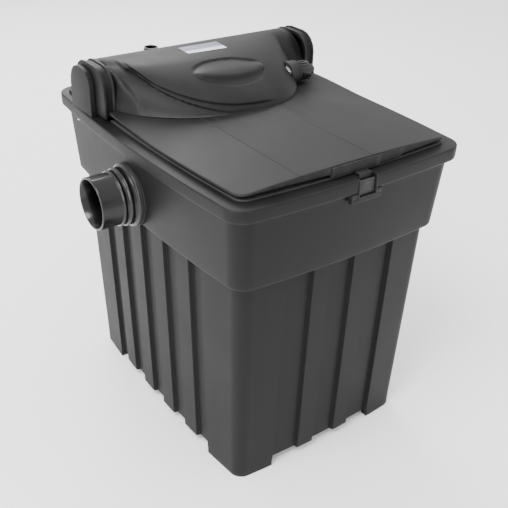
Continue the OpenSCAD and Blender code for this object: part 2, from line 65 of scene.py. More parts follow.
LID_TOP, CROWN, LID_IN = 481.0, 5.0, 18.0
HINGE_Y, HINGE_Z = 139.0, 498.0
BARREL_H, BARREL_HALF, DOME_SPAN, DOME_REACH = 40.0, 169.0, 135.0, 113.0
LAMP_Y, LAMP_Z = 39.5, 500.0
NECK_IN, NECK_OUT, NECK_R, LAMP_BORE, CAP_SEAT = 100.0, 118.0, 18.6, 14.2, 16.9
OUTLET_Y, OUTLET_Z, OUTLET_R, OUTLET_BORE, OUTLET_PAD = 13.0, 384.0, 37.5, 38.7, 46.0
LATCH_X, LATCH_Z, LATCH_NOTCH, STEM_HOLE = 6.0, 450.5, 14.0, 4.2
LABEL_X, LABEL_T = (-38.0, 30.0), (0.76, 0.94)   # the label's span across and up the hump
LABEL_BAND = 0.1085                              # where its pale band ends, in metres from front to back
# recesses between the ribs, as stations along a side wall and along the front and back
SIDE_CUTS = [(-141, -111.5), (-80.5, -47.5), (-16.5, 16.5), (47.5, 80.5), (111.5, 141)]
FRONT_CUTS = [(-95, -48.5), (-21.5, 21.5), (48.5, 95)]


# ------------------------------------------------------------------ settings
def colour(default, name, text):
    return bpy.props.FloatVectorProperty(name=name, description=text, subtype="COLOR", size=3,
                                         min=0, max=1, default=default)


def length(default, name, text):
    return bpy.props.FloatProperty(name=name, description=text, default=default * MM, min=0,
                                   unit="LENGTH", precision=5)


class PF_TankSettings(bpy.types.PropertyGroup):
    rib_depth: length(6.0, "Rib depth", "How deep the recesses between the ribs are")
    lip_round: length(1.8, "Lip edge", "Rounding of the rim's outer edge")
    shell: length(3.0, "Lid wall", "Wall thickness of the hump moulding")
    ridge: length(3.4, "Dome ridge", "Height of the step that runs round the dome")
    grip: length(3.8, "Grip height", "Height of the oval grip on the dome")


class PF_FinishSettings(bpy.types.PropertyGroup):
    plastic: colour((0.0056, 0.0055, 0.0059), "Moulding", "Main charcoal plastic")
    gloss: colour((0.002, 0.002, 0.0022), "Pipe", "Glossy black plastic of pipe parts")
    button: colour((0.022, 0.022, 0.024), "Latch", "Grey plastic of the latch panel")
    steel: colour((0.62, 0.62, 0.61), "Steel", "Screws, pins and spring")
    rubber: colour((0.02, 0.02, 0.021), "Rubber", "Seals and gaskets")
    foam_a: colour((0.05, 0.14, 0.36), "Coarse foam", "Colour of the coarse foam")
    foam_b: colour((0.55, 0.52, 0.42), "Fine foam", "Colour of the fine foam")
    foam_c: colour((0.06, 0.2, 0.1), "Rear foam", "Colour of the rear foam")
    label: colour((0.62, 0.63, 0.72), "Label", "Blank label foil")
    cream: colour((0.68, 0.66, 0.58), "Off white", "Bushes, socket and ballast case")


class PF_StageSettings(bpy.types.PropertyGroup):
    lens: bpy.props.FloatProperty(name="Lens", description="Focal length of the camera", default=55.46,
                                  min=20, max=200, unit="CAMERA")
    key: bpy.props.FloatProperty(name="Key light", description="Power of the main soft light",
                                 default=92.0, min=0, unit="POWER")
    sky: bpy.props.FloatProperty(name="Surround", description="Strength of the pale surroundings",
                                 default=1.75, min=0)


def tank_set():
    return bpy.context.scene.pf_tank


def finish_set():
    return bpy.context.scene.pf_finish


# ------------------------------------------------------------------ mesh helpers
def smooth(t):
    """Eased step from 0 to 1."""
    t = min(1.0, max(0.0, t))
    return t * t * (3 - 2 * t)


def linked(name, data):
    """A new object in the scene."""
    ob = bpy.data.objects.new(name, data)
    bpy.context.scene.collection.objects.link(ob)
    return ob


def mesh_object(name, verts, faces):
    """A mesh object from points in millimetres round the tank's middle; its faces are checked outwards."""
    me = bpy.data.meshes.new(name)
    me.from_pydata([(v[0] * MM + CX, v[1] * MM, v[2] * MM) for v in verts], [], faces)
    me.validate()
    ob = linked(name, me)
    tidy_mesh(ob)
    return ob


def tidy_mesh(ob, merge=1e-6):
    """Merges doubled points and turns the faces outwards."""
    bm = bmesh.new()
    bm.from_mesh(ob.data)
    bmesh.ops.remove_doubles(bm, verts=bm.verts, dist=merge)
    bmesh.ops.recalc_face_normals(bm, faces=bm.faces)
    bm.to_mesh(ob.data)
    bm.free()


def shade(ob, angle=35):
    """Smooth shading, with edges sharper than angle left crisp."""
    for p in ob.data.polygons:
        p.use_smooth = True
    ob.data.set_sharp_from_angle(angle=math.radians(angle))


def grid_faces(rows, cols):
    """Quads between rings of points."""
    out = []
    for j in range(rows - 1):
        for k in range(cols):
            a, b = j * cols + k, j * cols + (k + 1) % cols
            out.append((a, b, b + cols, a + cols))
    return out


def shell_faces(rows, cols):
    """Faces of a closed shell: an outer grid, an inner grid after it, and a rim round both."""
    total = rows * cols
    faces = []
    for i in range(rows - 1):
        for k in range(cols - 1):
            a = i * cols + k
            faces.append((a, a + 1, a + cols + 1, a + cols))
            b = total + a
            faces.append((b, b + cols, b + cols + 1, b + 1))
        for k in (0, cols - 1):
            a = i * cols + k
            faces.append((a, a + cols, total + a + cols, total + a))
    for i in (0, rows - 1):
        for k in range(cols - 1):
            a = i * cols + k
            faces.append((a, a + 1, total + a + 1, total + a))
    return faces


def baked(ob):
    """The object's mesh with its modifiers applied, and no modifiers left."""
    bpy.context.view_layer.update()
    dg = bpy.context.evaluated_depsgraph_get()
    me = bpy.data.meshes.new_from_object(ob.evaluated_get(dg))
    ob.modifiers.clear()
    old = ob.data
    ob.data = me
    if old.users == 0:
        bpy.data.meshes.remove(old)
    return ob


def cut(ob, cutters):
    """Takes the cutters out of the object, in order, and removes them."""
    for c in cutters:
        m = ob.modifiers.new("cut", "BOOLEAN")
        m.operation, m.solver, m.object = "DIFFERENCE", "EXACT", c
    baked(ob)
    for c in cutters:
        bpy.data.objects.remove(c)
    return ob


def bevel(ob, width, segments=2, angle=30):
    """Adds rounded edges, width in millimetres."""
    m = ob.modifiers.new("round_edges", "BEVEL")
    m.width, m.segments, m.limit_method = width * MM, segments, "ANGLE"
    m.angle_limit = math.radians(angle)
    m.use_clamp_overlap = True
    m.miter_outer = "MITER_ARC"
    return m


def joined(name, parts):
    """One object made of several, which are removed."""
    bm = bmesh.new()
    for p in parts:
        bm.from_mesh(p.data)
    me = bpy.data.meshes.new(name)
    bm.to_mesh(me)
    bm.free()
    for p in parts:
        bpy.data.objects.remove(p)
    ob = linked(name, me)
    return ob


def lathe(name, profile, axis, at, n=96):
    """Turned piece: profile is (along, radius) in millimetres round an axis through at."""
    verts, rows = [], len(profile)
    for a, r in profile:
        for k in range(n):
            w = 2 * math.pi * k / n
            c, s = r * math.cos(w), r * math.sin(w)
            p = {"X": (a, c, s), "Y": (c, a, s), "Z": (c, s, a)}[axis]
            verts.append((at[0] + p[0], at[1] + p[1], at[2] + p[2]))
    faces = grid_faces(rows, n)
    faces += [((rows - 1) * n + k, (rows - 1) * n + (k + 1) % n, (k + 1) % n, k) for k in range(n)]
    return mesh_object(name, verts, faces)


def softened(name, node, width=0.5, segments=2, angle=30):
    """A copy of a part of the frame, merged and with rounded edges, that stands for it."""
    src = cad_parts[node]
    me = src.data.copy()
    me.name = name
    ob = linked(name, me)
    bm = bmesh.new()
    bm.from_mesh(me)
    bmesh.ops.remove_doubles(bm, verts=bm.verts, dist=2e-6)
    bmesh.ops.dissolve_limit(bm, angle_limit=math.radians(1.0), verts=bm.verts, edges=bm.edges)
    bm.to_mesh(me)
    bm.free()
    me.materials.clear()
    bevel(ob, width, segments, angle)
    baked(ob)
    shade(ob, 38)
    return ob


def stand_ins(body, rows):
    """Rounded copies of parts on one body: name, part, finish, slot, edge width and its segments."""
    for name, node, material, slot, width, segments in rows:
        finish_piece(softened(name, node, width, segments), material, body, [node])


def finish_piece(ob, material, body, nodes=()):
    ob.data.materials.clear()
    ob.data.materials.append(material)
    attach(ob, body)
    if nodes:
        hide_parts(*nodes)
    return ob


# ------------------------------------------------------------------ finishes
def node_group(name, inputs, outputs):
    """An empty shader group with named inputs and outputs."""
    g = bpy.data.node_groups.new(name, "ShaderNodeTree")
    for n, kind, default in inputs:
        s = g.interface.new_socket(name=n, in_out="INPUT", socket_type=kind)
        if default is not None:
            s.default_value = default
    for n, kind in outputs:
        g.interface.new_socket(name=n, in_out="OUTPUT", socket_type=kind)
    return g, g.nodes.new("NodeGroupInput"), g.nodes.new("NodeGroupOutput")


def math_node(tree, op, a, b=None, clamp=False):
    n = tree.nodes.new("ShaderNodeMath")
    n.operation, n.use_clamp = op, clamp
    for sock, v in ((n.inputs[0], a), (n.inputs[1], b)):
        if v is None:
            continue
        if hasattr(v, "is_output"):
            tree.links.new(v, sock)
        else:
            sock.default_value = v
    return n.outputs[0]


def noise_node(tree, vector, scale, detail=3.0, rough=0.5):
    n = tree.nodes.new("ShaderNodeTexNoise")
    n.inputs["Detail"].default_value = detail
    n.inputs["Roughness"].default_value = rough
    tree.links.new(vector, n.inputs["Vector"])
    if hasattr(scale, "is_output"):
        tree.links.new(scale, n.inputs["Scale"])
    else:
        n.inputs["Scale"].default_value = scale
    return n.outputs["Fac"]


def map_range(tree, value, lo, hi, to_lo=0.0, to_hi=1.0):
    n = tree.nodes.new("ShaderNodeMapRange")
    tree.links.new(value, n.inputs["Value"])
    n.inputs["From Min"].default_value, n.inputs["From Max"].default_value = lo, hi
    n.inputs["To Min"].default_value, n.inputs["To Max"].default_value = to_lo, to_hi
    return n.outputs["Result"]


def mix_colour(tree, fac, a, b, blend="MIX"):
    n = tree.nodes.new("ShaderNodeMix")
    n.data_type, n.blend_type = "RGBA", blend
    for sock, v in ((n.inputs[0], fac), (n.inputs[6], a), (n.inputs[7], b)):
        if hasattr(v, "is_output"):
            tree.links.new(v, sock)
        else:
            sock.default_value = v
    return n.outputs[2]


def edge_wear_and_highlight_group():
    """Where raised edges are rubbed paler, broken up by noise."""
    g, gi, go = node_group("edge_wear_and_highlight", [("Vector", "NodeSocketVector", None),
                                         ("Amount", "NodeSocketFloat", 0.5),
                                         ("Scale", "NodeSocketFloat", 60.0)],
                           [("Mask", "NodeSocketFloat")])
    geo = g.nodes.new("ShaderNodeNewGeometry")
    # pointiness picks out the raised edges to be paled: rubbed wear together with a painted edge highlight
    edge = map_range(g, geo.outputs["Pointiness"], 0.52, 0.60)
    spots = noise_node(g, gi.outputs["Vector"], gi.outputs["Scale"], 4.0, 0.6)
    spots = map_range(g, spots, 0.3, 0.62, 0.35, 1.0)
    both = math_node(g, "MULTIPLY", edge, spots)
    g.links.new(math_node(g, "MULTIPLY", both, gi.outputs["Amount"], True), go.inputs["Mask"])
    return g


def grain_group():
    """Fine moulded grain: a height and a matching change of gloss."""
    g, gi, go = node_group("mould_grain", [("Vector", "NodeSocketVector", None),
                                           ("Scale", "NodeSocketFloat", 900.0),
                                           ("Flow", "NodeSocketFloat", 18.0)],
                           [("Height", "NodeSocketFloat"), ("Cloud", "NodeSocketFloat")])
    fine = noise_node(g, gi.outputs["Vector"], gi.outputs["Scale"], 2.0, 0.6)
    cells = g.nodes.new("ShaderNodeTexVoronoi")
    g.links.new(gi.outputs["Vector"], cells.inputs["Vector"])
    g.links.new(gi.outputs["Scale"], cells.inputs["Scale"])
    height = math_node(g, "ADD", math_node(g, "MULTIPLY", fine, 0.6),
                       math_node(g, "MULTIPLY", cells.outputs["Distance"], 0.4))
    cloud = noise_node(g, gi.outputs["Vector"], gi.outputs["Flow"], 5.0, 0.6)
    g.links.new(height, go.inputs["Height"])
    g.links.new(cloud, go.inputs["Cloud"])
    return g


def dust_group():
    """Light dust that lies on faces that look up."""
    g, gi, go = node_group("settled_dust", [("Vector", "NodeSocketVector", None),
                                            ("Amount", "NodeSocketFloat", 0.3)],
                           [("Mask", "NodeSocketFloat")])
    geo = g.nodes.new("ShaderNodeNewGeometry")
    sep = g.nodes.new("ShaderNodeSeparateXYZ")
    g.links.new(geo.outputs["Normal"], sep.inputs[0])
    up = map_range(g, sep.outputs["Z"], 0.35, 1.0)
    patch = map_range(g, noise_node(g, gi.outputs["Vector"], 9.0, 6.0, 0.65), 0.3, 0.75)
    both = math_node(g, "MULTIPLY", up, patch)
    g.links.new(math_node(g, "MULTIPLY", both, gi.outputs["Amount"], True), go.inputs["Mask"])
    return g


GROUPS = {}
MATERIALS = {}


def group(name):
    if name not in GROUPS:
        GROUPS[name] = {"edge_wear_and_highlight": edge_wear_and_highlight_group, "mould_grain": grain_group,
                        "settled_dust": dust_group}[name]()
    return GROUPS[name]


def place(tree, name, vector, **values):
    """A shared effect in a material, with its own values."""
    n = tree.nodes.new("ShaderNodeGroup")
    n.node_tree = group(name)
    tree.links.new(vector, n.inputs["Vector"])
    for k, v in values.items():
        n.inputs[k.capitalize()].default_value = v
    return n


def made_once(make):
    """Keeps what a finish function makes, under its name and that of the finish."""
    def wrapper(*args, **values):
        key = (make.__name__, *args[:1])
        if key not in MATERIALS:
            MATERIALS[key] = make(*args, **values)
        return MATERIALS[key]
    return wrapper


def base_material(name):
    m = bpy.data.materials.new(name)
    m.use_nodes = True
    t = m.node_tree
    t.nodes.clear()
    out = t.nodes.new("ShaderNodeOutputMaterial")
    bsdf = t.nodes.new("ShaderNodeBsdfPrincipled")
    t.links.new(bsdf.outputs[0], out.inputs[0])
    coord = t.nodes.new("ShaderNodeTexCoord").outputs["Object"]
    return m, t, bsdf, coord


@made_once
def plastic(name, base, rough=0.42, grain=900.0, bump=0.10, paling=0.5, dust=0.10, cloud=0.16,
            specular=0.16, flow=18.0):
    """Moulded plastic: grain, cloudy tone, paler edges and a little dust."""
    m, t, bsdf, co = base_material(name)
    g = place(t, "mould_grain", co, scale=grain, flow=flow)
    e = place(t, "edge_wear_and_highlight", co, amount=paling, scale=70.0)
    d = place(t, "settled_dust", co, amount=dust)
    dark = (*[v * (1 - cloud) for v in base], 1)
    light = (*[min(1, v * (1 + cloud)) for v in base], 1)
    tone = mix_colour(t, map_range(t, g.outputs["Cloud"], 0.3, 0.7), dark, light)
    # raised edges mixed to a paler tone: rubbed wear together with a painted highlight on the edges; the edge
    # amount sets how strong it is
    rubbed_and_highlight_tone = (*[min(1, v * 2.0 + 0.02) for v in base], 1)
    tone = mix_colour(t, e.outputs["Mask"], tone, rubbed_and_highlight_tone)
    tone = mix_colour(t, d.outputs["Mask"], tone, (0.10, 0.10, 0.097, 1))
    t.links.new(tone, bsdf.inputs["Base Color"])
    r = math_node(t, "ADD", map_range(t, g.outputs["Cloud"], 0.25, 0.75, rough - 0.04, rough + 0.05),
                  math_node(t, "MULTIPLY", d.outputs["Mask"], 0.3), True)
    t.links.new(r, bsdf.inputs["Roughness"])
    b = t.nodes.new("ShaderNodeBump")
    b.inputs["Strength"].default_value = bump
    b.inputs["Distance"].default_value = 0.0004
    t.links.new(g.outputs["Height"], b.inputs["Height"])
    t.links.new(b.outputs[0], bsdf.inputs["Normal"])
    bsdf.inputs["Specular IOR Level"].default_value = specular
    return m


@made_once
def steel(name="plain_steel"):
    """Drawn steel with fine streaks."""
    m, t, bsdf, co = base_material(name)
    base = tuple(finish_set().steel)
    mp = t.nodes.new("ShaderNodeMapping")
    mp.inputs["Scale"].default_value = (1, 1, 14)
    t.links.new(co, mp.inputs[0])
    streak = noise_node(t, mp.outputs[0], 260.0, 3.0, 0.6)
    t.links.new(mix_colour(t, streak, (*[v * 0.7 for v in base], 1), (*base, 1)), bsdf.inputs["Base Color"])
    t.links.new(map_range(t, streak, 0.3, 0.7, 0.24, 0.42), bsdf.inputs["Roughness"])
    bsdf.inputs["Metallic"].default_value = 1.0
    return m


@made_once
def foam(name, base, cell):
    """Open cell foam: dark pores and brown stains."""
    m, t, bsdf, co = base_material(name)
    v = t.nodes.new("ShaderNodeTexVoronoi")
    v.feature = "SMOOTH_F1"
    v.inputs["Scale"].default_value = cell
    t.links.new(co, v.inputs["Vector"])
    pore = map_range(t, v.outputs["Distance"], 0.15, 0.55)
    big = noise_node(t, co, 14.0, 5.0, 0.6)
    # pores darkened towards their centres: painted shade inside the open cells
    tone = mix_colour(t, pore, (*[x * 0.16 for x in base], 1), (*base, 1))
    tone = mix_colour(t, map_range(t, big, 0.45, 0.75, 0.0, 0.45), tone, (0.09, 0.08, 0.05, 1))
    t.links.new(tone, bsdf.inputs["Base Color"])
    t.links.new(map_range(t, pore, 0, 1, 0.95, 0.75), bsdf.inputs["Roughness"])
    b = t.nodes.new("ShaderNodeBump")
    b.inputs["Strength"].default_value = 0.9
    b.inputs["Distance"].default_value = 0.0015
    t.links.new(pore, b.inputs["Height"])
    t.links.new(b.outputs[0], bsdf.inputs["Normal"])
    bsdf.inputs["Specular IOR Level"].default_value = 0.2
    return m


@made_once
def glass(name, tint, rough, weight):
    """Clear or milky glass with faint clouding."""
    m, t, bsdf, co = base_material(name)
    n = noise_node(t, co, 40.0, 2.0, 0.5)
    t.links.new(mix_colour(t, n, (*tint, 1), (*[v * 0.93 for v in tint], 1)), bsdf.inputs["Base Color"])
    t.links.new(map_range(t, n, 0.3, 0.7, rough, rough + 0.05), bsdf.inputs["Roughness"])
    bsdf.inputs["Transmission Weight"].default_value = weight
    bsdf.inputs["IOR"].default_value = 1.46
    return m


@made_once
def label_finish(name="blank_label"):
    """Foil with a pale band over a tinted field, and no lettering."""
    m, t, bsdf, co = base_material(name)
    base = tuple(finish_set().label)
    sep = t.nodes.new("ShaderNodeSeparateXYZ")
    t.links.new(co, sep.inputs[0])
    rows = math_node(t, "SINE", math_node(t, "MULTIPLY", sep.outputs["Y"], 620.0))
    band = map_range(t, sep.outputs["Y"], LABEL_BAND, LABEL_BAND + 0.0003)
    print_mask = math_node(t, "MULTIPLY", map_range(t, rows, 0.2, 0.3),
                           map_range(t, noise_node(t, co, 90.0, 1.0, 0.5), 0.35, 0.4))
    tone = mix_colour(t, band, (*base, 1), (0.085, 0.085, 0.16, 1))
    tone = mix_colour(t, math_node(t, "MULTIPLY", print_mask, 0.35), tone, (0.30, 0.31, 0.42, 1))
    paling = noise_node(t, co, 30.0, 5.0, 0.6)
    tone = mix_colour(t, map_range(t, paling, 0.55, 0.8, 0.0, 0.25), tone, (0.5, 0.5, 0.52, 1))
    t.links.new(tone, bsdf.inputs["Base Color"])
    t.links.new(map_range(t, paling, 0.2, 0.8, 0.22, 0.4), bsdf.inputs["Roughness"])
    return m


def charcoal():
    return plastic("charcoal_moulding", tuple(finish_set().plastic), rough=0.52, paling=0.8)


def charcoal_wall():
    """The tank's walls: the same plastic with a coarser, flatter texture."""
    return plastic("charcoal_tank", tuple(finish_set().plastic), rough=0.5, grain=700.0, bump=0.14,
                   paling=0.8, dust=0.08, cloud=0.12, flow=12.0)


def pipe_black():
    return plastic("gloss_black_pipe", tuple(finish_set().gloss), rough=0.2, grain=1400.0, bump=0.02,
                   paling=0.5, dust=0.05, cloud=0.3, specular=0.4, flow=30.0)


def inner_black():
    return plastic("inner_moulding", tuple(v * 0.7 for v in finish_set().plastic), rough=0.5, grain=500.0,
                   bump=0.12, paling=0.2, dust=0.1)


def rubber():
    return plastic("seal_rubber", tuple(finish_set().rubber), rough=0.6, grain=600.0, bump=0.2, paling=0.1,
                   dust=0.2, specular=0.3)


def cream():
    return plastic("off_white_plastic", tuple(finish_set().cream), rough=0.38, grain=900.0, bump=0.06,
                   paling=0.1, dust=0.1, cloud=0.05)


# ------------------------------------------------------------------ outlines
def cut_points(cuts, edge):
    """Stations along a wall: (place, share of the recess depth, 1 inside a foot's span)."""
    out, last = [], None
    lo, hi = cuts[0][0], cuts[-1][1]
    steps = 4
    out.append((lo - 26, 0.0, 1))
    out.append((lo - 12, 0.0, 1))
    out.append((lo - 1.2, 0.0, 1))
    for a, b in cuts:
        if last is not None:
            for k in (1, 2):
                out.append((last + (a - last) * k / 3, 0.0, 0))
        out.append((a - 0.6, 0.0, 0))
        for k in range(steps + 1):
            out.append((a + edge * k / steps, smooth(k / steps), 0))
        for k in (1, 2, 3):
            out.append((a + edge + (b - a - 2 * edge) * k / 4, 1.0, 0))
        for k in range(steps + 1):
            out.append((b - edge + edge * k / steps, smooth(1 - k / steps), 0))
        out.append((b + 0.6, 0.0, 0))
        last = b
    out.append((hi + 1.2, 0.0, 1))
    out.append((hi + 12, 0.0, 1))
    out.append((hi + 26, 0.0, 1))
    return out


def outline(inset, r, depth=0.0, edge=RIB_EDGE, corner=10):
    """Closed outline of the tank: (x, y, 1 if over a foot)."""
    hx, hy = HALF_W - inset, HALF_D - inset
    sx, sy = hx - r, hy - r
    pts = []
    front, side = cut_points(FRONT_CUTS, edge), cut_points(SIDE_CUTS, edge)

    def bow(t, s, b):
        return b * (1 - min(1.0, abs(t / s)) ** 2)

    def arc(x, y, a0):
        for k in range(corner + 1):
            w = math.radians(a0 + 90 * k / corner)
            pts.append((x + r * math.cos(w), y + r * math.sin(w), 1))

    for t, d, f in front:
        pts.append((t, -(hy + bow(t, sx, BOW_FRONT)) + d * depth, f))
    arc(sx, -sy, -90)
    for t, d, f in side:
        pts.append((hx + bow(t, sy, BOW_SIDE) - d * depth, t, f))
    arc(sx, sy, 0)
    for t, d, f in front:
        pts.append((-t, hy + bow(t, sx, BOW_FRONT) - d * depth, f))
    arc(-sx, sy, 90)
    for t, d, f in side:
        pts.append((-(hx + bow(t, sy, BOW_SIDE)) + d * depth, -t, f))
    arc(-sx, -sy, 180)
    return pts


def ring(inset, r, z, depth=0.0, foot=None):
    """A ring of points at height z; foot gives the height over the corner feet."""
    out = []
    for x, y, f in outline(inset, r, depth):
        h = foot if (foot is not None and f) else z
        out.append((x, y, h(x) if callable(h) else h))
    return out


def skin(name, rings, crown_caps=False):
    """A closed body through the rings, with a cap at each end."""
    n = len(rings[0])
    verts = [p for g in rings for p in g]
    faces = grid_faces(len(rings), n)
    top = (len(rings) - 1) * n
    if crown_caps:
        # caps made of strips from front to back: points that mirror in y are joined
        for o in (0, top):
            pairs = {}
            for k in range(n):
                x, y, _ = verts[o + k]
                pairs.setdefault((round(x, 3), round(abs(y), 3)), []).append((y, o + k))
            chain = sorted((key[0], key[1], sorted(v)) for key, v in pairs.items() if len(v) > 1)
            lower = {v[0][1] for _, _, v in chain}
            mate = {v[0][1]: v[-1][1] for _, _, v in chain}
            for k in range(n):
                a, b = o + k, o + (k + 1) % n
                if a in lower and b in lower:
                    f = (a, b, mate[b], mate[a])
                    faces.append(f)
    else:
        faces.append(tuple(range(n))[::-1])
        faces.append(tuple(top + k for k in range(n)))
    return mesh_object(name, verts, faces)


def lid_z(x):
    """Height of the crowned lid across its width."""
    return LID_TOP + CROWN * (1 - (x / 172.0) ** 2)


# ------------------------------------------------------------------ tank
def build_tank():
    """The ribbed tank: feet, recesses, collar, lip, floor, and the outlet's pad."""
    s = tank_set()
    d = s.rib_depth / MM
    lr = s.lip_round / MM
    # underside and corner feet
    rings = [ring(62, 8, FOOT_H), ring(48, 10, FOOT_H), ring(46.5, 11, FOOT_H, d, 1.0),
             ring(45.5, 12, FOOT_H, d, 0.0), ring(BASE_IN + 2.6, 18, FOOT_H, d, 0.0),
             ring(BASE_IN + 1.0, 19.5, FOOT_H + 0.3, d, 0.35), ring(BASE_IN + 0.35, 20, FOOT_H + 1.0, d, 1.1),
             ring(BASE_IN + 0.1, 20, FOOT_H + 2.4, d, 3.0)]
    # ribbed wall, which leans outwards
    z0, z1 = FOOT_H + 5, COLLAR_Z - 7
    for k in range(15):
        t = k / 14
        rings.append(ring(BASE_IN - (BASE_IN - 25.2) * t, 20 + 2 * t, z0 + (z1 - z0) * t, d))
    # end of the recesses and the step out to the collar
    rings += [ring(25.2, 22, COLLAR_Z - 5, d), ring(25.1, 22, COLLAR_Z - 3.4, d * 0.75),
              ring(25.0, 22, COLLAR_Z - 2.2, d * 0.25), ring(25, 22, COLLAR_Z - 1.4),
              ring(24.4, 22, COLLAR_Z - 0.5), ring(23.6, 22.4, COLLAR_Z), ring(17.6, 25.4, COLLAR_Z),
              ring(16.4, 26, COLLAR_Z + 0.6), ring(15.7, 26, COLLAR_Z + 1.8), ring(15.3, 26.4, COLLAR_Z + 4)]
    # collar
    top = RIM_Z - LIP_H
    for k in range(1, 9):
        t = k / 8
        rings.append(ring(15.3 - 6.2 * t, 26.5 + 1.5 * t, COLLAR_Z + 4 + (top - 2 - COLLAR_Z - 4) * t))
    # turned-down lip and its rounded edge
    rings += [ring(8.8, 28, top - 0.5), ring(8.0, 28.2, top), ring(2.4, 29, top), ring(1.3, 29.3, top + 0.5),
              ring(0.6, 29.6, top + 1.5), ring(0.3, 29.8, top + 3.5), ring(0, 30, RIM_Z - lr - 4),
              ring(0, 30, RIM_Z - lr)]
    for k in range(1, 6):
        w = math.radians(18 * k)
        rings.append(ring(lr * (1 - math.cos(w)), 30 - lr * (1 - math.cos(w)), RIM_Z - lr + lr * math.sin(w)))
    # rim, then down the inside to the floor
    rings += [ring(9, 26, RIM_Z), ring(20, 20, RIM_Z), ring(28.6, 15, RIM_Z), ring(29.6, 14.4, RIM_Z - 0.4),
              ring(30, 14, RIM_Z - 1.3), ring(30, 14, RIM_Z - 3), ring(29.4, 14.5, RIM_Z - 3.8),
              ring(28, 15, RIM_Z - 4), ring(15, 22, RIM_Z - 6), ring(13, 24, RIM_Z - 9),
              ring(18.5, 23, COLLAR_Z + 4), ring(28, 19, COLLAR_Z - 4), ring(29.2, 18, COLLAR_Z - 7),
              ring(29.4, 18, COLLAR_Z - 13, d), ring(BASE_IN + WALL, 16, FOOT_H + WALL + 4, d),
              ring(BASE_IN + WALL + 2, 15, FOOT_H + WALL, d), ring(64, 8, FOOT_H + WALL)]
    tank = skin("tank_body", rings)
    # pad round the outlet, inside and outside
    pr = OUTLET_PAD
    pad = lathe("pad", [(-190, pr - 7), (-190, pr - 1), (-189.4, pr - 0.2), (-188.4, pr), (-178.6, pr),
                        (-178, pr - 0.6), (-178, pr - 7)], "X", (0, OUTLET_Y, OUTLET_Z), 96)
    cutters = [lathe("bore", [(-230, 0.01), (-230, OUTLET_BORE), (-150, OUTLET_BORE), (-150, 0.01)], "X",
                     (0, OUTLET_Y, OUTLET_Z), 96),
               box_object("notch", (LATCH_X - LATCH_NOTCH, -275, RIM_Z - LIP_H - 2),
                          (LATCH_X + LATCH_NOTCH, -246.4, RIM_Z + 6)),
               box_object("stem_hole", (LATCH_X - STEM_HOLE, -262, LATCH_Z - STEM_HOLE),
                          (LATCH_X + STEM_HOLE, -225, LATCH_Z + STEM_HOLE))]
    cut(tank, cutters)
    tank = joined("tank_body", [tank, pad])
    shade(tank, 32)
    finish_piece(tank, charcoal_wall(), "tank", ["tank"])


def box_object(name, lo, hi):
    """A plain block, used for cutting and as a start."""
    v = [(x, y, z) for x in (lo[0], hi[0]) for y in (lo[1], hi[1]) for z in (lo[2], hi[2])]
    f = [(0, 1, 3, 2), (4, 6, 7, 5), (0, 4, 5, 1), (2, 3, 7, 6), (0, 2, 6, 4), (1, 5, 7, 3)]
    return mesh_object(name, v, f)


def plate(name, lo, hi, width=0.8, segments=2):
    """A block with rounded edges."""
    ob = box_object(name, lo, hi)
    bevel(ob, width, segments)
    return baked(ob)


# ------------------------------------------------------------------ lid plate
GROOVES = (-87.0, 28.0)
# blocks of the skirt under the front edge: from, to, drop at each end and how far it stands out
FRONT_STEPS = ((-156, -41.2, 1.0, 9.5, 0.3), (-41, 37.8, 13, 13.5, 2.2), (38, 76.8, 12, 11.5, 1.3),
               (77, 158, 9.5, 2.0, 0.3))
LID_MIDDLE = 98.0        # half width of the part whose stations stay put, whatever the inset


def plate_z(x, y):
    """Top of the plate, which droops a little along its free side edges."""
    return lid_z(x) - 4.4 * min(1.0, abs(x) / 172) ** 2.4 * (1 - smooth((y + 60) / 130))


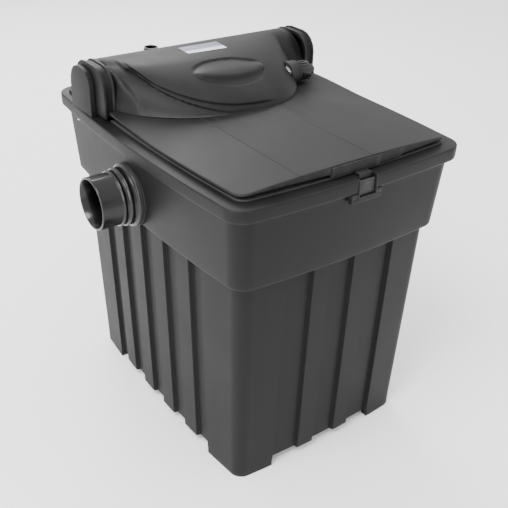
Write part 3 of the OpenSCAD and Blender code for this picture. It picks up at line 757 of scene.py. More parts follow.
def build_lid_plate():
    """The crowned plate: two shallow grooves, a thin rounded edge and a skirt."""
    def bead(x):
        return max(0.8 * (1 - smooth((abs(x - g) - 0.3) / 1.3)) for g in GROOVES)

    z = lambda x, y: plate_z(x, y) + bead(x)
    flat = lambda down: (lambda x, y: plate_z(x, y) - down)
    # from the middle of the underside, round the edge, to the middle of the top
    rings = [lid_ring(80, 8, flat(3)), lid_ring(LID_IN + 12, 11, flat(3)), lid_ring(LID_IN + 12, 11, 470),
             lid_ring(LID_IN + 8, 13, 470), lid_ring(LID_IN + 8, 13, flat(3.2)),
             lid_ring(LID_IN + 0.6, 17.6, flat(3.2)), lid_ring(LID_IN, 18, flat(2.6)),
             lid_ring(LID_IN, 18, flat(1.1)), lid_ring(LID_IN + 0.25, 17.8, flat(0.5)),
             lid_ring(LID_IN + 0.8, 17.4, flat(0.12)), lid_ring(LID_IN + 1.7, 16.6, z),
             lid_ring(LID_IN + 4, 16, z), lid_ring(LID_IN + 22, 12, z), lid_ring(80, 8, z)]
    ob = skin("lid_plate_top", rings, crown_caps=True)
    cutters = [box_object("rear", (-300, HINGE_Y + 4, 400), (300, 320, 620)),
               box_object("left", (-208, HINGE_Y - 61, 401), (-169.4, 330, 621)),
               box_object("right", (169.4, HINGE_Y - 61, 402), (208, 331, 622)),
               box_object("window", (-84, 12, 400), (44, 88, 600))]
    cut(ob, cutters)
    shade(ob, 30)
    finish_piece(ob, charcoal(), "lid", ["lid_plate"])
    # skirt along the front edge: it deepens towards the middle, with two blocks over the latch
    parts = []
    for x0, x1, h0, h1, out in FRONT_STEPS:
        n, verts = 14, []
        for i in range(n + 1):
            x = x0 + (x1 - x0) * i / n
            h = h0 + (h1 - h0) * i / n
            yf = -(HALF_D - LID_IN + BOW_FRONT * (1 - (x / 153) ** 2))
            zt = plate_z(x, yf) - 1.6
            for dy, down in ((2.6, 0), (0.2 - out, 0), (-out, 0.5), (-out, h - 0.8), (-out + 0.8, h),
                             (2.6, h)):
                verts.append((x, yf + dy, zt - down))
        faces = grid_faces(n + 1, 6) + [(0, 1, 2, 3, 4, 5), tuple(n * 6 + q for q in (5, 4, 3, 2, 1, 0))]
        parts.append(mesh_object("step", verts, faces))
    ob = joined("lid_front_steps", parts)
    shade(ob, 30)
    finish_piece(ob, charcoal(), "lid", ())


def lid_stations():
    """Extra stations across the front and back edges, so that the grooves have their own points."""
    xs = []
    for g in GROOVES:
        xs += [g + k for k in (-2.4, -1.7, -1.2, -0.8, -0.4, 0, 0.4, 0.8, 1.2, 1.7, 2.4)]
    xs += [-145 + 10 * k for k in range(30)]
    return sorted(set(xs))


def lid_ring(inset, r, z):
    """A ring of the lid's outline, with the same stations in every ring."""
    hx, hy = HALF_W - inset, HALF_D - inset
    sx, sy = hx - r, hy - r
    span = LID_MIDDLE
    xs = [x for x in lid_stations() if abs(x) < span]
    # stations past the middle part slide with the corner, so every ring has the same count
    outer = [span + (sx - span) * k / 4 for k in range(0, 4)]
    xs = [-x for x in outer[::-1]] + xs + outer
    ys = [sy * (k / 12) for k in range(-11, 12)]
    pts = []

    def arc(x, y, a0):
        for k in range(9):
            w = math.radians(a0 + 90 * k / 8)
            pts.append((x + r * math.cos(w), y + r * math.sin(w)))

    for x in xs:
        pts.append((x, -(hy + BOW_FRONT * (1 - (x / sx) ** 2))))
    arc(sx, -sy, -90)
    for y in ys:
        pts.append((hx + BOW_SIDE * (1 - (y / sy) ** 2), y))
    arc(sx, sy, 0)
    for x in xs[::-1]:
        pts.append((x, hy + BOW_FRONT * (1 - (x / sx) ** 2)))
    arc(-sx, sy, 90)
    for y in ys[::-1]:
        pts.append((-(hx + BOW_SIDE * (1 - (y / sy) ** 2)), y))
    arc(-sx, -sy, 180)
    return [(x, y, z(x, y) if callable(z) else z) for x, y in pts]


# ------------------------------------------------------------------ hump
def dome_y(x):
    """Front edge of the hump where it meets the plate."""
    s = min(1.0, abs(x) / (BARREL_HALF if x < 0 else DOME_SPAN))
    return HINGE_Y - 59 - DOME_REACH * (1 - s ** 2.4) ** 0.75


def hump_base(x, t):
    """Point of the plain hump: t runs 0..1 from its front edge up to the crest."""
    y0, z0 = dome_y(x), lid_z(x) + 0.3
    e = 1.9 + 0.5 * abs(x) / BARREL_HALF
    h = HINGE_Z + BARREL_H - z0
    return Vector((x, y0 + (HINGE_Y - y0) * t, z0 + h * max(0.0, 1 - (1 - t) ** e) ** 0.72))


def interp(x, table):
    """Straight lines between the rows of a table."""
    if x <= table[0][0]:
        return table[0][1]
    for (a, u), (b, v) in zip(table, table[1:]):
        if x <= b:
            return u + (v - u) * (x - a) / (b - a)
    return table[-1][1]


def averaged(table):
    """The table with its corners rounded off: a mean over 8 mm to either side."""
    out = []
    for x in range(-170, 171, 2):
        near = [interp(x + d, table) for d in range(-8, 9, 2)]
        out.append((x, sum(near) / len(near)))
    return out


# how far up the profile the ridge runs, and where the crease crosses, from left to right
RIDGE = [(-142, 0.72), (-138, 0.58), (-132, 0.36), (-116, 0.225), (-100, 0.15), (-82, 0.10), (-60, 0.06),
         (-38, 0.038), (-10, 0.028), (20, 0.022), (60, 0.02)]
RIDGE_SMOOTH = averaged(RIDGE)
CREASE = [(0.0, -147), (0.07, -151), (0.26, -156), (0.5, -163), (0.84, -167)]


def hump_relief(x, t):
    """Height added to the plain hump: upper shell, second step, hollow facet and oval grip."""
    s = tank_set()
    ridge, grip = s.ridge / MM, s.grip / MM
    arc = 150.0                                   # rough length of the profile, to turn t into millimetres
    tr = interp(x, RIDGE_SMOOTH)
    fade = 1 - smooth((t - 0.55) / 0.35)
    left = smooth((x + 141) / 4)
    above = smooth((t - tr) * arc / 2.2) * left
    out = ridge * above * fade * smooth((42 - x) / 40)
    second = smooth((t - tr + 0.045) * arc / 1.6) * smooth((x + 146) / 4)
    out += 1.1 * second * fade * smooth((10 - x) / 50)
    # hollow facet between the crease and the ridge
    xc = interp(t, CREASE)
    hollow = smooth((x - xc) / 2.0) * (1 - second) * smooth((-20 - x) / 90) * (1 - smooth((t - 0.7) / 0.25))
    out -= 3.0 * hollow
    # oval grip: stepped in along its upper edge, swelling to a sharp lower lip
    gx, gt = (x + 6) / 60.0, (t - 0.385) / 0.19
    q = 1 - gx * gx - gt * gt
    if q > 0:
        half = math.sqrt(max(1e-6, 1 - gx * gx))
        down = 0.5 - 0.5 * gt / half                      # 0 on the upper arc, 1 on the lower one
        swell = smooth(min(1.0, half * 1.6))
        if down < 0.70:
            rise = -2.0 + (grip + 2.0) * smooth(down / 0.68)
        else:
            rise = grip - (grip + 1.2) * smooth((down - 0.72) / 0.13)
        out += swell * rise * smooth(q / 0.08)
    # shallow band near each end of the barrel
    for c, w in ((-160, 2.0), (150, 8.0)):
        out += 0.9 * (1 - smooth((abs(x - c) - w) / 1.6)) * smooth((t - 0.1) / 0.1)
    return out


# back of the hump, as steps back and up from the hinge axis
REAR = [(0, 43), (4, 42.8), (8, 42), (11.5, 40.5), (15, 38.5), (18.2, 36), (21, 33), (23.6, 28.8),
        (25.5, 24), (27, 18), (28, 12), (28.8, 6), (29, 0), (28.6, -4.5), (27.6, -9), (26.1, -13),
        (24, -16.5), (20.8, -20), (17, -23), (13, -25.6), (9, -27.4)]
REAR_H = REAR[0][1]


def build_hump():
    """Barrel and dome in one shell, with the lamp's neck on its right."""
    s = tank_set()
    # stations along the barrel, closer together at its left end
    xs = []
    x = -168.7
    while x < 168.7:
        xs.append(x)
        x += 1.6 if x < -128 else 2.4
    xs.append(168.7)
    # stations up the profile, as shares below and above the ridge
    low = [k / 8 * 0.6 for k in range(9)] + [0.66, 0.71, 0.75, 0.79, 0.83, 0.86, 0.89, 0.92, 0.95, 0.975]
    high = [0.0, 0.004, 0.008, 0.012, 0.017, 0.023, 0.031]
    while high[-1] < 0.975:
        high.append(high[-1] + (0.0115 if high[-1] < 0.6 else 0.024))
    cols = len(low) + len(high) + len(REAR)
    verts = []
    for x in xs:
        tr = interp(x, RIDGE_SMOOTH)
        for t in [u * tr for u in low] + [tr + (1 - tr) * u for u in high]:
            p = hump_base(x, t)
            a, b = hump_base(x, max(0, t - 0.004)), hump_base(x, min(1, t + 0.004))
            c, e = hump_base(x - 0.5, t), hump_base(x + 0.5, t)
            n = (e - c).cross(b - a)
            n = n.normalized() if n.length > 1e-9 else Vector((0, -1, 0))
            if n.z < -0.2:
                n = -n
            lift = hump_relief(x, t) * smooth(t / 0.02)
            verts.append(p + n * lift)
        for dy, dz in REAR:
            verts.append(Vector((x, HINGE_Y + dy, HINGE_Z + (dz * BARREL_H / REAR_H if dz > 0 else dz))))
    rows = len(xs)
    # the inner face follows the outer one, a wall's thickness inside
    inner = []
    for i in range(rows):
        for k in range(cols):
            p = verts[i * cols + k]
            a, b = verts[i * cols + max(0, k - 1)], verts[i * cols + min(cols - 1, k + 1)]
            d = b - a
            n = Vector((0, d.z, -d.y)).normalized()
            q = p + n * (s.shell / MM)
            if k == 0:
                q = Vector((p.x, p.y + s.shell / MM, p.z))
            q.z = max(q.z, lid_z(p.x) + 0.3)
            inner.append(Vector((p.x, q.y, q.z)))
    hump = mesh_object("hump_shell", [tuple(v) for v in verts + inner], shell_faces(rows, cols))
    # neck of the lamp, cut flat where it meets the plate
    a, b, r = NECK_IN, NECK_OUT, NECK_R
    neck = lathe("neck", [(a, LAMP_BORE), (a, r), (b - 4, r), (b - 3, r - 0.4), (b - 0.6, r - 0.4),
                          (b, r - 1), (b, LAMP_BORE)], "X", (0, LAMP_Y, LAMP_Z), 72)
    foot = box_object("foot", (90, 0, 440), (130, 90, lid_z(NECK_IN) + 0.6))
    cut(neck, [foot])
    for x0, x1, r in ((90, 160, LAMP_BORE), (NECK_OUT, 160, CAP_SEAT)):
        cut(hump, [lathe("bore", [(x0, 0.01), (x0, r), (x1, r), (x1, 0.01)], "X",
                         (0, LAMP_Y, LAMP_Z), 64)])
    hump = joined("hump_shell", [hump, neck])
    shade(hump, 38)
    finish_piece(hump, charcoal(), "lid", ["hump_cover"])


def build_label():
    """A thin blank label that follows the hump."""
    (x0, x1), (t0, t1) = LABEL_X, LABEL_T
    xs = [x0 + (x1 - x0) * k / 24 for k in range(25)]
    ts = [t0 + (t1 - t0) * k / 12 for k in range(13)]
    top, low = [], []
    for x in xs:
        for t in ts:
            p = hump_base(x, t)
            a, b = hump_base(x, t - 0.004), hump_base(x, t + 0.004)
            d = (b - a).normalized()
            n = Vector((0, -d.z, d.y))
            lift = hump_relief(x, t)
            top.append(tuple(p + n * (lift + 0.45)))
            low.append(tuple(p + n * (lift + 0.05)))
    ob = mesh_object("blank_label", top + low, shell_faces(len(xs), len(ts)))
    shade(ob, 40)
    finish_piece(ob, label_finish(), "lid", ["label_plate"])


# ------------------------------------------------------------------ other pieces
def build_hinge():
    """Ears, ribbed end flanges, pins and bushes."""
    for side in ("left", "right"):
        ob = softened(f"hinge_ear_{side}", f"hinge_bracket_{side}", 1.6, 4, 24)
        finish_piece(ob, charcoal(), "tank", [f"hinge_bracket_{side}"])
        ob = softened(f"barrel_end_{side}", f"end_flange_{side}", 0.7, 3, 24)
        finish_piece(ob, charcoal(), "lid", [f"end_flange_{side}"])
    stand_ins("tank", [("hinge_pin_pair", "hinge_pins", steel(), "screw_steel", 0.6, 3)])
    stand_ins("lid", [("hinge_bush_pair", "hinge_bushes", cream(), "white_plastic", 0.4, 2)])


def build_outlet():
    """Stepped outlet pipe with its flange, nut, screen and seal."""
    r = OUTLET_R
    xm = -HALF_W - 58
    # from the mouth back along the outside over two beads and the flange, then to the inner end
    prof = [(xm + 0.8, r - 3.2), (xm + 0.2, r - 2.6), (xm, r - 1.8), (xm + 0.1, r - 0.8),
            (xm + 0.8, r - 0.1), (xm + 1.8, r), (-217.6, r), (-216.8, r + 0.3), (-215.9, r + 1.9),
            (-214.8, r + 2.4), (-213.7, r + 2.0), (-213.1, r + 1.1), (-212.2, r + 1.0),
            (-208.6, r + 1.5), (-207.8, r + 2.0), (-207.2, r + 3.6), (-206.2, r + 4.2), (-205, r + 4.2),
            (-204.3, r + 3.3), (-203.5, r + 3.2), (-198.2, r + 3.8), (-197.4, r + 4.4),
            (-196.8, r + 6.2), (-196, r + 7.4), (-195.2, r + 8), (-194.7, r + 7.9), (-194.4, r + 7),
            (-194.4, r), (-155, r), (-154.2, r - 0.6), (-154, r - 1.4), (-154, r - 2.6),
            (-154.6, r - 3.2), (-190, r - 3.2), (-220, r - 3.2)]
    ob = lathe("outlet_pipe", prof, "X", (0, OUTLET_Y, OUTLET_Z), 128)
    shade(ob, 50)
    finish_piece(ob, pipe_black(), "tank", ["outlet_spigot"])
    stand_ins("tank", [
        ("outlet_back_nut", "outlet_nut", pipe_black(), "gloss_black", 0.7, 2),
        ("outlet_screen", "outlet_strainer", inner_black(), "body_plastic", 0.4, 2),
        ("outlet_seal", "outlet_gasket", rubber(), "seal_rubber", 0.6, 2)])


def build_inlet():
    """Rear deck with the hose tail, its nut and seal, and the bend below."""
    stand_ins("tank", [
        ("hose_barb", "hose_tail", pipe_black(), "gloss_black", 0.5, 3),
        ("hose_lock_nut", "hose_nut", pipe_black(), "gloss_black", 0.6, 3),
        ("hose_ring", "hose_seal", rubber(), "seal_rubber", 0.3, 3),
        ("inlet_bend", "inlet_elbow", pipe_black(), "gloss_black", 0.8, 3),
        ("back_deck", "rear_deck", charcoal(), "body_plastic", 1.2, 3)])


def build_latch():
    """Window in the lip, pressed panel with its stem, spring and hook."""
    # the frame stands flush with the lip and has a raised edge round its window
    x, y0, y1, top = LATCH_X, -254.8, -246.6, RIM_Z - LIP_H - 0.3
    bars = [plate("b", (x - 25, y0, 434.5), (x + 25, y1, 442.3), 1.2, 3),
            plate("b", (x - 25, y0, 440), (x - 13.7, y1, top), 0.8, 2),
            plate("b", (x + 13.7, y0, 440), (x + 25, y1, top), 0.8, 2),
            plate("b", (x - 15.6, y0 - 1.0, 440.2), (x + 15.6, y0 + 2, 442.6), 0.5, 2)]
    for s in (-1, 1):
        a, b = sorted((x + s * 13.8, x + s * 15.6))
        bars.append(plate("b", (a, y0 - 1.0, 441), (b, y0 + 2, RIM_Z - 0.8), 0.5, 2))
    ob = joined("latch_surround", bars)
    shade(ob, 30)
    finish_piece(ob, charcoal(), "tank", ["latch_frame"])
    button = plastic("latch_grey", tuple(finish_set().button), rough=0.4, paling=0.4, dust=0.1)
    panel = [plate("p", (x - 13, -252.6, 443.2), (x + 13, -249.6, 463.5), 0.9, 3),
             plate("p", (x - 9, -253.2, 457.6), (x + 9, -252.2, 460.6), 0.4, 2)]
    stem = lathe("stem", [(-250, 0.01), (-250, 3.9), (-238, 3.9), (-237.4, 3.3), (-237.4, 0.01)], "Y",
                 (x, 0, LATCH_Z), 32)
    ob = joined("latch_panel", panel + [stem])
    shade(ob, 30)
    finish_piece(ob, button, "latch", ["latch_button"])
    stand_ins("latch", [("latch_retainer", "latch_clip", steel(), "screw_steel", 0.2, 2)])
    ob = softened("latch_coil", "latch_spring", 0.05, 1, 60)
    finish_piece(ob, steel(), "tank", ["latch_spring"])
    stand_ins("lid", [("lid_hook", "lid_catch", charcoal(), "body_plastic", 0.4, 2)])


def foam_block(name, lo, hi, seed):
    """An open cell block: softly bulged faces, rounded edges and a cut, pitted surface."""
    ob = box_object(name, [v / MM for v in lo], [v / MM for v in hi])
    ob.data.transform(Matrix.Translation((-CX, 0, 0)))
    m = ob.modifiers.new("cells", "REMESH")
    m.mode, m.voxel_size = "VOXEL", 0.0052
    baked(ob)
    mid = (Vector(lo) + Vector(hi)) / 2
    half = (Vector(hi) - Vector(lo)) / 2
    for v in ob.data.vertices:
        q = v.co - mid
        n = Vector((q.x / half.x, q.y / half.y, q.z / half.z))
        k = max(abs(n.x), abs(n.y), abs(n.z))
        pull = 0.0009 + 0.0009 * noise.noise(v.co * 90 + Vector((seed, 0, 0)))
        edge = sorted((abs(n.x), abs(n.y), abs(n.z)))[1]
        pull += 0.0016 * smooth((edge - 0.93) / 0.07)
        d = Vector([n[i] if abs(n[i]) > k - 0.02 else 0 for i in range(3)])
        if d.length > 0:
            v.co -= d.normalized() * pull
    return ob


def build_foams():
    """Upright foam blocks of the front and rear chambers."""
    s = finish_set()
    for name, node, parts, base, slot, cell in (
            ("coarse_foam_block", "foam_coarse", [(-178, -144), (-143, -109)], s.foam_a, "foam_blue", 260.0),
            ("fine_foam_block", "foam_fine", [(-108, -74)], s.foam_b, "foam_cream", 520.0),
            ("rear_foam_block", "foam_rear", [(99, 137), (138, 176)], s.foam_c, "foam_green", 360.0)):
        lo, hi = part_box(node)
        mat = foam(name + "_cells", tuple(base), cell)
        for k, (y0, y1) in enumerate(parts):
            ob = foam_block(f"{name}_{k + 1}", (lo.x, y0 * MM, lo.z), (hi.x, y1 * MM, hi.z), 7.0 * k + cell)
            shade(ob, 60)
            finish_piece(ob, mat, "tank", [node])


def repeat_tree(name):
    """Node tree: one unit object set at each point of a mesh, made real, with a material."""
    g = bpy.data.node_groups.new(name, "GeometryNodeTree")
    g.interface.new_socket(name="Geometry", in_out="INPUT", socket_type="NodeSocketGeometry")
    g.interface.new_socket(name="Unit", in_out="INPUT", socket_type="NodeSocketObject")
    g.interface.new_socket(name="Size", in_out="INPUT", socket_type="NodeSocketFloat")
    g.interface.new_socket(name="Finish", in_out="INPUT", socket_type="NodeSocketMaterial")
    g.interface.new_socket(name="Geometry", in_out="OUTPUT", socket_type="NodeSocketGeometry")
    gi, go = g.nodes.new("NodeGroupInput"), g.nodes.new("NodeGroupOutput")
    info = g.nodes.new("GeometryNodeObjectInfo")
    inst = g.nodes.new("GeometryNodeInstanceOnPoints")
    turn = g.nodes.new("FunctionNodeRandomValue")
    turn.data_type = "FLOAT_VECTOR"
    turn.inputs["Max"].default_value = (0, 0, math.pi)
    turn.inputs["Seed"].default_value = 5
    real = g.nodes.new("GeometryNodeRealizeInstances")
    setm = g.nodes.new("GeometryNodeSetMaterial")
    g.links.new(gi.outputs["Unit"], info.inputs["Object"])
    g.links.new(gi.outputs["Geometry"], inst.inputs["Points"])
    g.links.new(info.outputs["Geometry"], inst.inputs["Instance"])
    g.links.new(turn.outputs["Value"], inst.inputs["Rotation"])
    g.links.new(gi.outputs["Size"], inst.inputs["Scale"])
    g.links.new(inst.outputs[0], real.inputs[0])
    g.links.new(real.outputs[0], setm.inputs["Geometry"])
    g.links.new(gi.outputs["Finish"], setm.inputs["Material"])
    g.links.new(setm.outputs[0], go.inputs[0])
    return g


def repeated(name, unit, points, mat, size=1.0):
    """Copies of unit at points (metres), made by a node tree and turned into a plain mesh."""
    me = bpy.data.meshes.new(name)
    me.from_pydata([tuple(p) for p in points], [], [])
    ob = linked(name, me)
    tree = repeat_tree(name + "_tree")
    m = ob.modifiers.new("repeat", "NODES")
    m.node_group = tree
    ids = {i.name: i.identifier for i in tree.interface.items_tree if i.in_out == "INPUT"}
    m[ids["Unit"]] = unit
    m[ids["Size"]] = size
    m[ids["Finish"]] = mat
    baked(ob)
    bpy.data.objects.remove(unit)
    return ob


def local(ob):
    """Moves a unit built round the tank's middle back to the origin."""
    ob.data.transform(Matrix.Translation((-CX, 0, 0)))
    return ob


def build_balls():
    """Bio balls: a ribbed cage of crossing discs round a core."""
    parts = [lathe("d", [(-23.6, 4), (-23.6, 5.5), (23.6, 5.5), (23.6, 4)], "Z", (0, 0, 0), 16)]
    r = 23.8
    for k in range(7):
        z = -18 + 6 * k
        w = math.sqrt(r * r - z * z)
        parts.append(lathe("d", [(z - 0.7, 4.5), (z - 0.7, w - 0.4), (z - 0.2, w), (z + 0.2, w),
                                 (z + 0.7, w - 0.4), (z + 0.7, 4.5)], "Z", (0, 0, 0), 36))
    for k in range(6):
        a = math.pi * k / 6
        prof = []
        n = 16
        for i in range(n + 1):
            u = -math.pi / 2 + math.pi * i / n
            prof.append((r * 0.985 * math.cos(u), r * 0.985 * math.sin(u)))
        verts = []
        for s in (-0.6, 0.6):
            for x, z in prof:
                verts.append((x * math.cos(a) - s * math.sin(a), x * math.sin(a) + s * math.cos(a), z))
            for x, z in prof[::-1]:
                verts.append((-x * math.cos(a) - s * math.sin(a), -x * math.sin(a) + s * math.cos(a), z))
        m = 2 * (n + 1)
        faces = [tuple(range(m)), tuple(range(m, 2 * m))[::-1]]
        faces += [(q, (q + 1) % m, m + (q + 1) % m, m + q) for q in range(m)]
        parts.append(mesh_object("d", verts, faces))
    unit = local(joined("ball_unit", parts))
    pts = [(CX + (-104 + 52 * i) * MM, (-20 + 60 * j) * MM, (39.4 + 24.5) * MM)
           for i in range(5) for j in range(2)]
    mat = plastic("bio_ball_black", (0.02, 0.021, 0.024), rough=0.4, bump=0.05, paling=0.3, dust=0.1)
    ob = repeated("bio_ball_layer", unit, pts, mat)
    shade(ob, 35)
    finish_piece(ob, mat, "tank", ["bio_balls"])


def screw_unit(head_r, head_h, shank_r, shank_l, down):
    """A pan head screw with a cross recess; the head's underside is at z = 0."""
    s = 1 if down else -1
    head = lathe("h", [(0, 0.01), (0, head_r), (s * head_h * 0.35, head_r),
                       (s * head_h * 0.75, head_r * 0.86), (s * head_h, head_r * 0.55),
                       (s * head_h, 0.01)], "Z", (0, 0, 0), 28)
    prof = [(0, 0.01), (0, shank_r)]
    n = int(shank_l / 1.0)
    for k in range(n):
        z = -s * (0.5 + k)
        prof += [(z, shank_r * 0.8), (z - s * 0.5, shank_r)]
    prof += [(-s * (shank_l - 0.2), shank_r * 0.5), (-s * shank_l, 0.01)]
    shank = lathe("s", prof, "Z", (0, 0, 0), 16)
    cross = [box_object("c", (-a, -b, s * (head_h - 0.7)), (a, b, s * (head_h + 1)))
             for a, b in ((head_r * 0.6, 0.45), (0.45, head_r * 0.6))]
    cut(head, cross)
    return local(joined("screw_unit", [head, shank]))


def screw_places():
    """Where the lid screws sit: under the dome's front edge and at both ends of the barrel."""
    out = [(x, dome_y(x) + 15) for x in (-118, -60, 0, 58, 98)]
    return out + [(-150, 118), (150, 118)]


def build_screws():
    """Screws of the deck, the ears and the lid."""
    at = lambda x, y, z: (CX + x * MM, y * MM, z * MM)
    sets = [("deck_screw_set", "deck_screws", "tank", screw_unit(4, 2.6, 1.8, 12.5, True),
             [at(s * x, y, RIM_Z + 5.1) for s in (-1, 1) for x, y in ((150, 226), (55, 234))]),
            ("bracket_screw_set", "bracket_screws", "tank", screw_unit(3, 2.5, 1.9, 33, False),
             [at(s * 191.2, y, RIM_Z - LIP_H - 0.1) for s in (-1, 1) for y in (118, 160)]),
            ("lid_screw_set", "lid_screws", "lid", screw_unit(3.8, 2.6, 1.7, 9, False),
             [at(x, y, lid_z(x) - 3.5) for x, y in screw_places()])]
    for name, node, body, unit, pts in sets:
        ob = repeated(name, unit, pts, steel())
        shade(ob, 35)
        finish_piece(ob, steel(), body, [node])


def build_chambers():
    """Dividers, raised floor and drip tray."""
    stand_ins("tank", [(name, node, inner_black(), "body_plastic", width, 2) for name, node, width in (
        ("front_divider", "partition_front", 0.8), ("rear_divider", "partition_rear", 0.8),
        ("raised_floor", "media_grid", 0.6), ("drip_tray", "spray_tray", 0.8))])


def build_lamp():
    """Lamp, sleeve, holder and ballast, the turning end cap, and the lid's seal."""
    clear = glass("clear_quartz", (0.93, 0.97, 0.98), 0.02, 1.0)
    tube = glass("lamp_tube", (0.86, 0.9, 0.95), 0.12, 0.35)
    stand_ins("lid", [
        ("quartz_tube", "quartz_sleeve", clear, "quartz", 0.3, 2),
        ("lamp_twin_tube", "uv_lamp", tube, "lamp_glass", 0.4, 2),
        ("lamp_holder", "lamp_socket", cream(), "white_plastic", 0.4, 2),
        ("sleeve_ring", "sleeve_seal", rubber(), "seal_rubber", 0.5, 2),
        ("sleeve_rests", "sleeve_saddles", inner_black(), "body_plastic", 0.8, 2),
        ("ballast_box", "ballast_case", cream(), "white_plastic", 1.6, 2)])
    stand_ins("cap", [
        ("lamp_end_cap", "lamp_cap", pipe_black(), "gloss_black", 0.5, 2),
        ("cap_ring", "cap_seal", rubber(), "seal_rubber", 0.4, 2),
        ("cord_gland", "cable_gland", pipe_black(), "gloss_black", 0.4, 2),
        ("gland_cap_nut", "gland_nut", pipe_black(), "gloss_black", 0.4, 2)])
    stand_ins("lid", [("rim_seal", "lid_seal", rubber(), "seal_rubber", 0.4, 2)])


# ------------------------------------------------------------------ stage
CAMERA_TURN, CAMERA_TILT, CAMERA_ROLL = -36.3172, 30.9097, 1.6627     # degrees
# the camera's place from the tank's near left corner, in widths of the tank
CAMERA_BACK, CAMERA_RIGHT, CAMERA_UP = 2.92, 0.0847, 0.9435


def build_stage():
    """Pale floor and surroundings, three soft lights and the camera."""
    s = bpy.context.scene.pf_stage
    w = bpy.data.worlds.new("surround")
    bpy.context.scene.world = w
    w.use_nodes = True
    bg = w.node_tree.nodes["Background"]
    bg.inputs[0].default_value = (1, 1, 1, 1)
    bg.inputs[1].default_value = s.sky
    me = bpy.data.meshes.new("floor")
    me.from_pydata([(-12, -12, 0), (12, -12, 0), (12, 12, 0), (-12, 12, 0)], [], [(0, 1, 2, 3)])
    floor = linked("floor", me)
    m, t, bsdf, co = base_material("pale_floor")
    t.links.new(mix_colour(t, noise_node(t, co, 2.0, 2.0, 0.5), (0.97, 0.97, 0.97, 1), (0.99, 0.99, 0.99, 1)),
                bsdf.inputs["Base Color"])
    bsdf.inputs["Roughness"].default_value = 0.9
    bsdf.inputs["Specular IOR Level"].default_value = 0.0
    me.materials.append(m)
    lights = [("key", (-1.5, -0.5, 2.6), 1.5, s.key, (0.0, 0.05, 0.4)),
              ("fill_left", (-2.6, -0.9, 0.9), 1.6, s.key * 0.42, (0.0, 0.0, 0.25)),
              ("back", (0.6, 2.2, 1.9), 1.4, s.key * 0.5, (0.0, 0.1, 0.45))]
    for name, pos, size, power, aim in lights:
        li = bpy.data.lights.new(name, "AREA")
        li.energy, li.size, li.shape = power, size, "DISK"
        ob = linked(name, li)
        ob.location = pos
        ob.rotation_euler = (Vector(aim) - Vector(pos)).to_track_quat("-Z", "Y").to_euler()
    # camera in front and to the left, looking down on the lid, with a slight roll
    cam = bpy.data.cameras.new("camera")
    cam.lens, cam.sensor_width, cam.clip_start = s.lens, 36.0, 0.05
    cam.dof.use_dof = False
    ob = linked("camera", cam)
    az, el, roll = (math.radians(v) for v in (CAMERA_TURN, CAMERA_TILT, CAMERA_ROLL))
    # axes of the view: back towards the camera, right and up, then the roll
    back = Vector((math.sin(az) * math.cos(el), -math.cos(az) * math.cos(el), math.sin(el)))
    right = Vector((0, 0, 1)).cross(back).normalized()
    up = back.cross(right)
    r = right * math.cos(roll) + up * math.sin(roll)
    u = up * math.cos(roll) - right * math.sin(roll)
    width = 2 * HALF_W * MM
    pos = back * (CAMERA_BACK * width) + r * (CAMERA_RIGHT * width) + u * (CAMERA_UP * width)
    pos += Vector((CX - HALF_W * MM, -HALF_D * MM, 0))
    ob.matrix_world = Matrix(((r.x, u.x, back.x, pos.x), (r.y, u.y, back.y, pos.y),
                              (r.z, u.z, back.z, pos.z), (0, 0, 0, 1)))
    bpy.context.scene.camera = ob


# ------------------------------------------------------------------ operators
class PF_Base:
    bl_options = {"REGISTER", "UNDO"}
    build = None

    def execute(self, context):
        type(self).build()
        return {"FINISHED"}


def make_operator(key, label, text, function):
    return type("PF_OT_" + key, (PF_Base, bpy.types.Operator),
                {"bl_idname": "pond_filter." + key, "bl_label": label, "__doc__": text,
                 "build": staticmethod(function)})


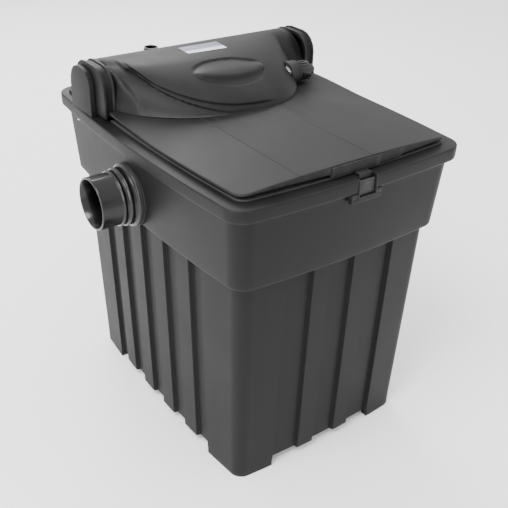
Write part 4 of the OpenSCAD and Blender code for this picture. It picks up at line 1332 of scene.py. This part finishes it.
STEPS = [
    ("stage", "Stage", "Add the floor, the lights and the camera", build_stage),
    ("tank", "Tank", "Build the ribbed tank with its collar, lip and feet", build_tank),
    ("lid_plate", "Lid plate", "Build the crowned lid plate with its grooves", build_lid_plate),
    ("hump", "Hump", "Build the barrel and dome over the lamp", build_hump),
    ("label", "Label", "Build the blank label on the hump", build_label),
    ("hinge", "Hinge", "Build the ears, end flanges, pins and bushes", build_hinge),
    ("outlet", "Outlet", "Build the outlet pipe, its nut, screen and seal", build_outlet),
    ("inlet", "Inlet", "Build the rear deck, hose tail and bend", build_inlet),
    ("latch", "Latch", "Build the latch window, panel, spring and hook", build_latch),
    ("foams", "Foams", "Build the foam blocks", build_foams),
    ("balls", "Bio balls", "Build the layer of bio balls", build_balls),
    ("screws", "Screws", "Build the screws", build_screws),
    ("chambers", "Chambers", "Build the dividers, raised floor and drip tray", build_chambers),
    ("lamp", "Lamp set", "Build the lamp, its sleeve, seals, cap and gland", build_lamp),
]
OPERATORS = [make_operator(*s) for s in STEPS]


class PF_PT_panel(bpy.types.Panel):
    """Sizes, colours and build steps of the pond filter box"""
    bl_label = "Pond Filter Box"
    bl_idname = "PF_PT_panel"
    bl_space_type = "VIEW_3D"
    bl_region_type = "UI"
    bl_category = "Pond Filter"

    def draw(self, context):
        scene = context.scene
        for title, group_ in (("Sizes", scene.pf_tank), ("Colours", scene.pf_finish),
                              ("Stage", scene.pf_stage)):
            col = self.layout.column(align=True)
            col.label(text=title)
            for name in group_.__annotations__:
                col.prop(group_, name)
        col = self.layout.column(align=True)
        for key, label, _, _ in STEPS:
            col.operator("pond_filter." + key, text=label)


CLASSES = [PF_TankSettings, PF_FinishSettings, PF_StageSettings, *OPERATORS, PF_PT_panel]


def register():
    for c in CLASSES:
        bpy.utils.register_class(c)
    bpy.types.Scene.pf_tank = bpy.props.PointerProperty(type=PF_TankSettings)
    bpy.types.Scene.pf_finish = bpy.props.PointerProperty(type=PF_FinishSettings)
    bpy.types.Scene.pf_stage = bpy.props.PointerProperty(type=PF_StageSettings)


def unregister():
    for name in ("pf_tank", "pf_finish", "pf_stage"):
        delattr(bpy.types.Scene, name)
    for c in reversed(CLASSES):
        bpy.utils.unregister_class(c)


def main():
    register()
    for key, _, _, _ in STEPS:
        getattr(bpy.ops.pond_filter, key)()


if __name__ == "__main__":
    main()
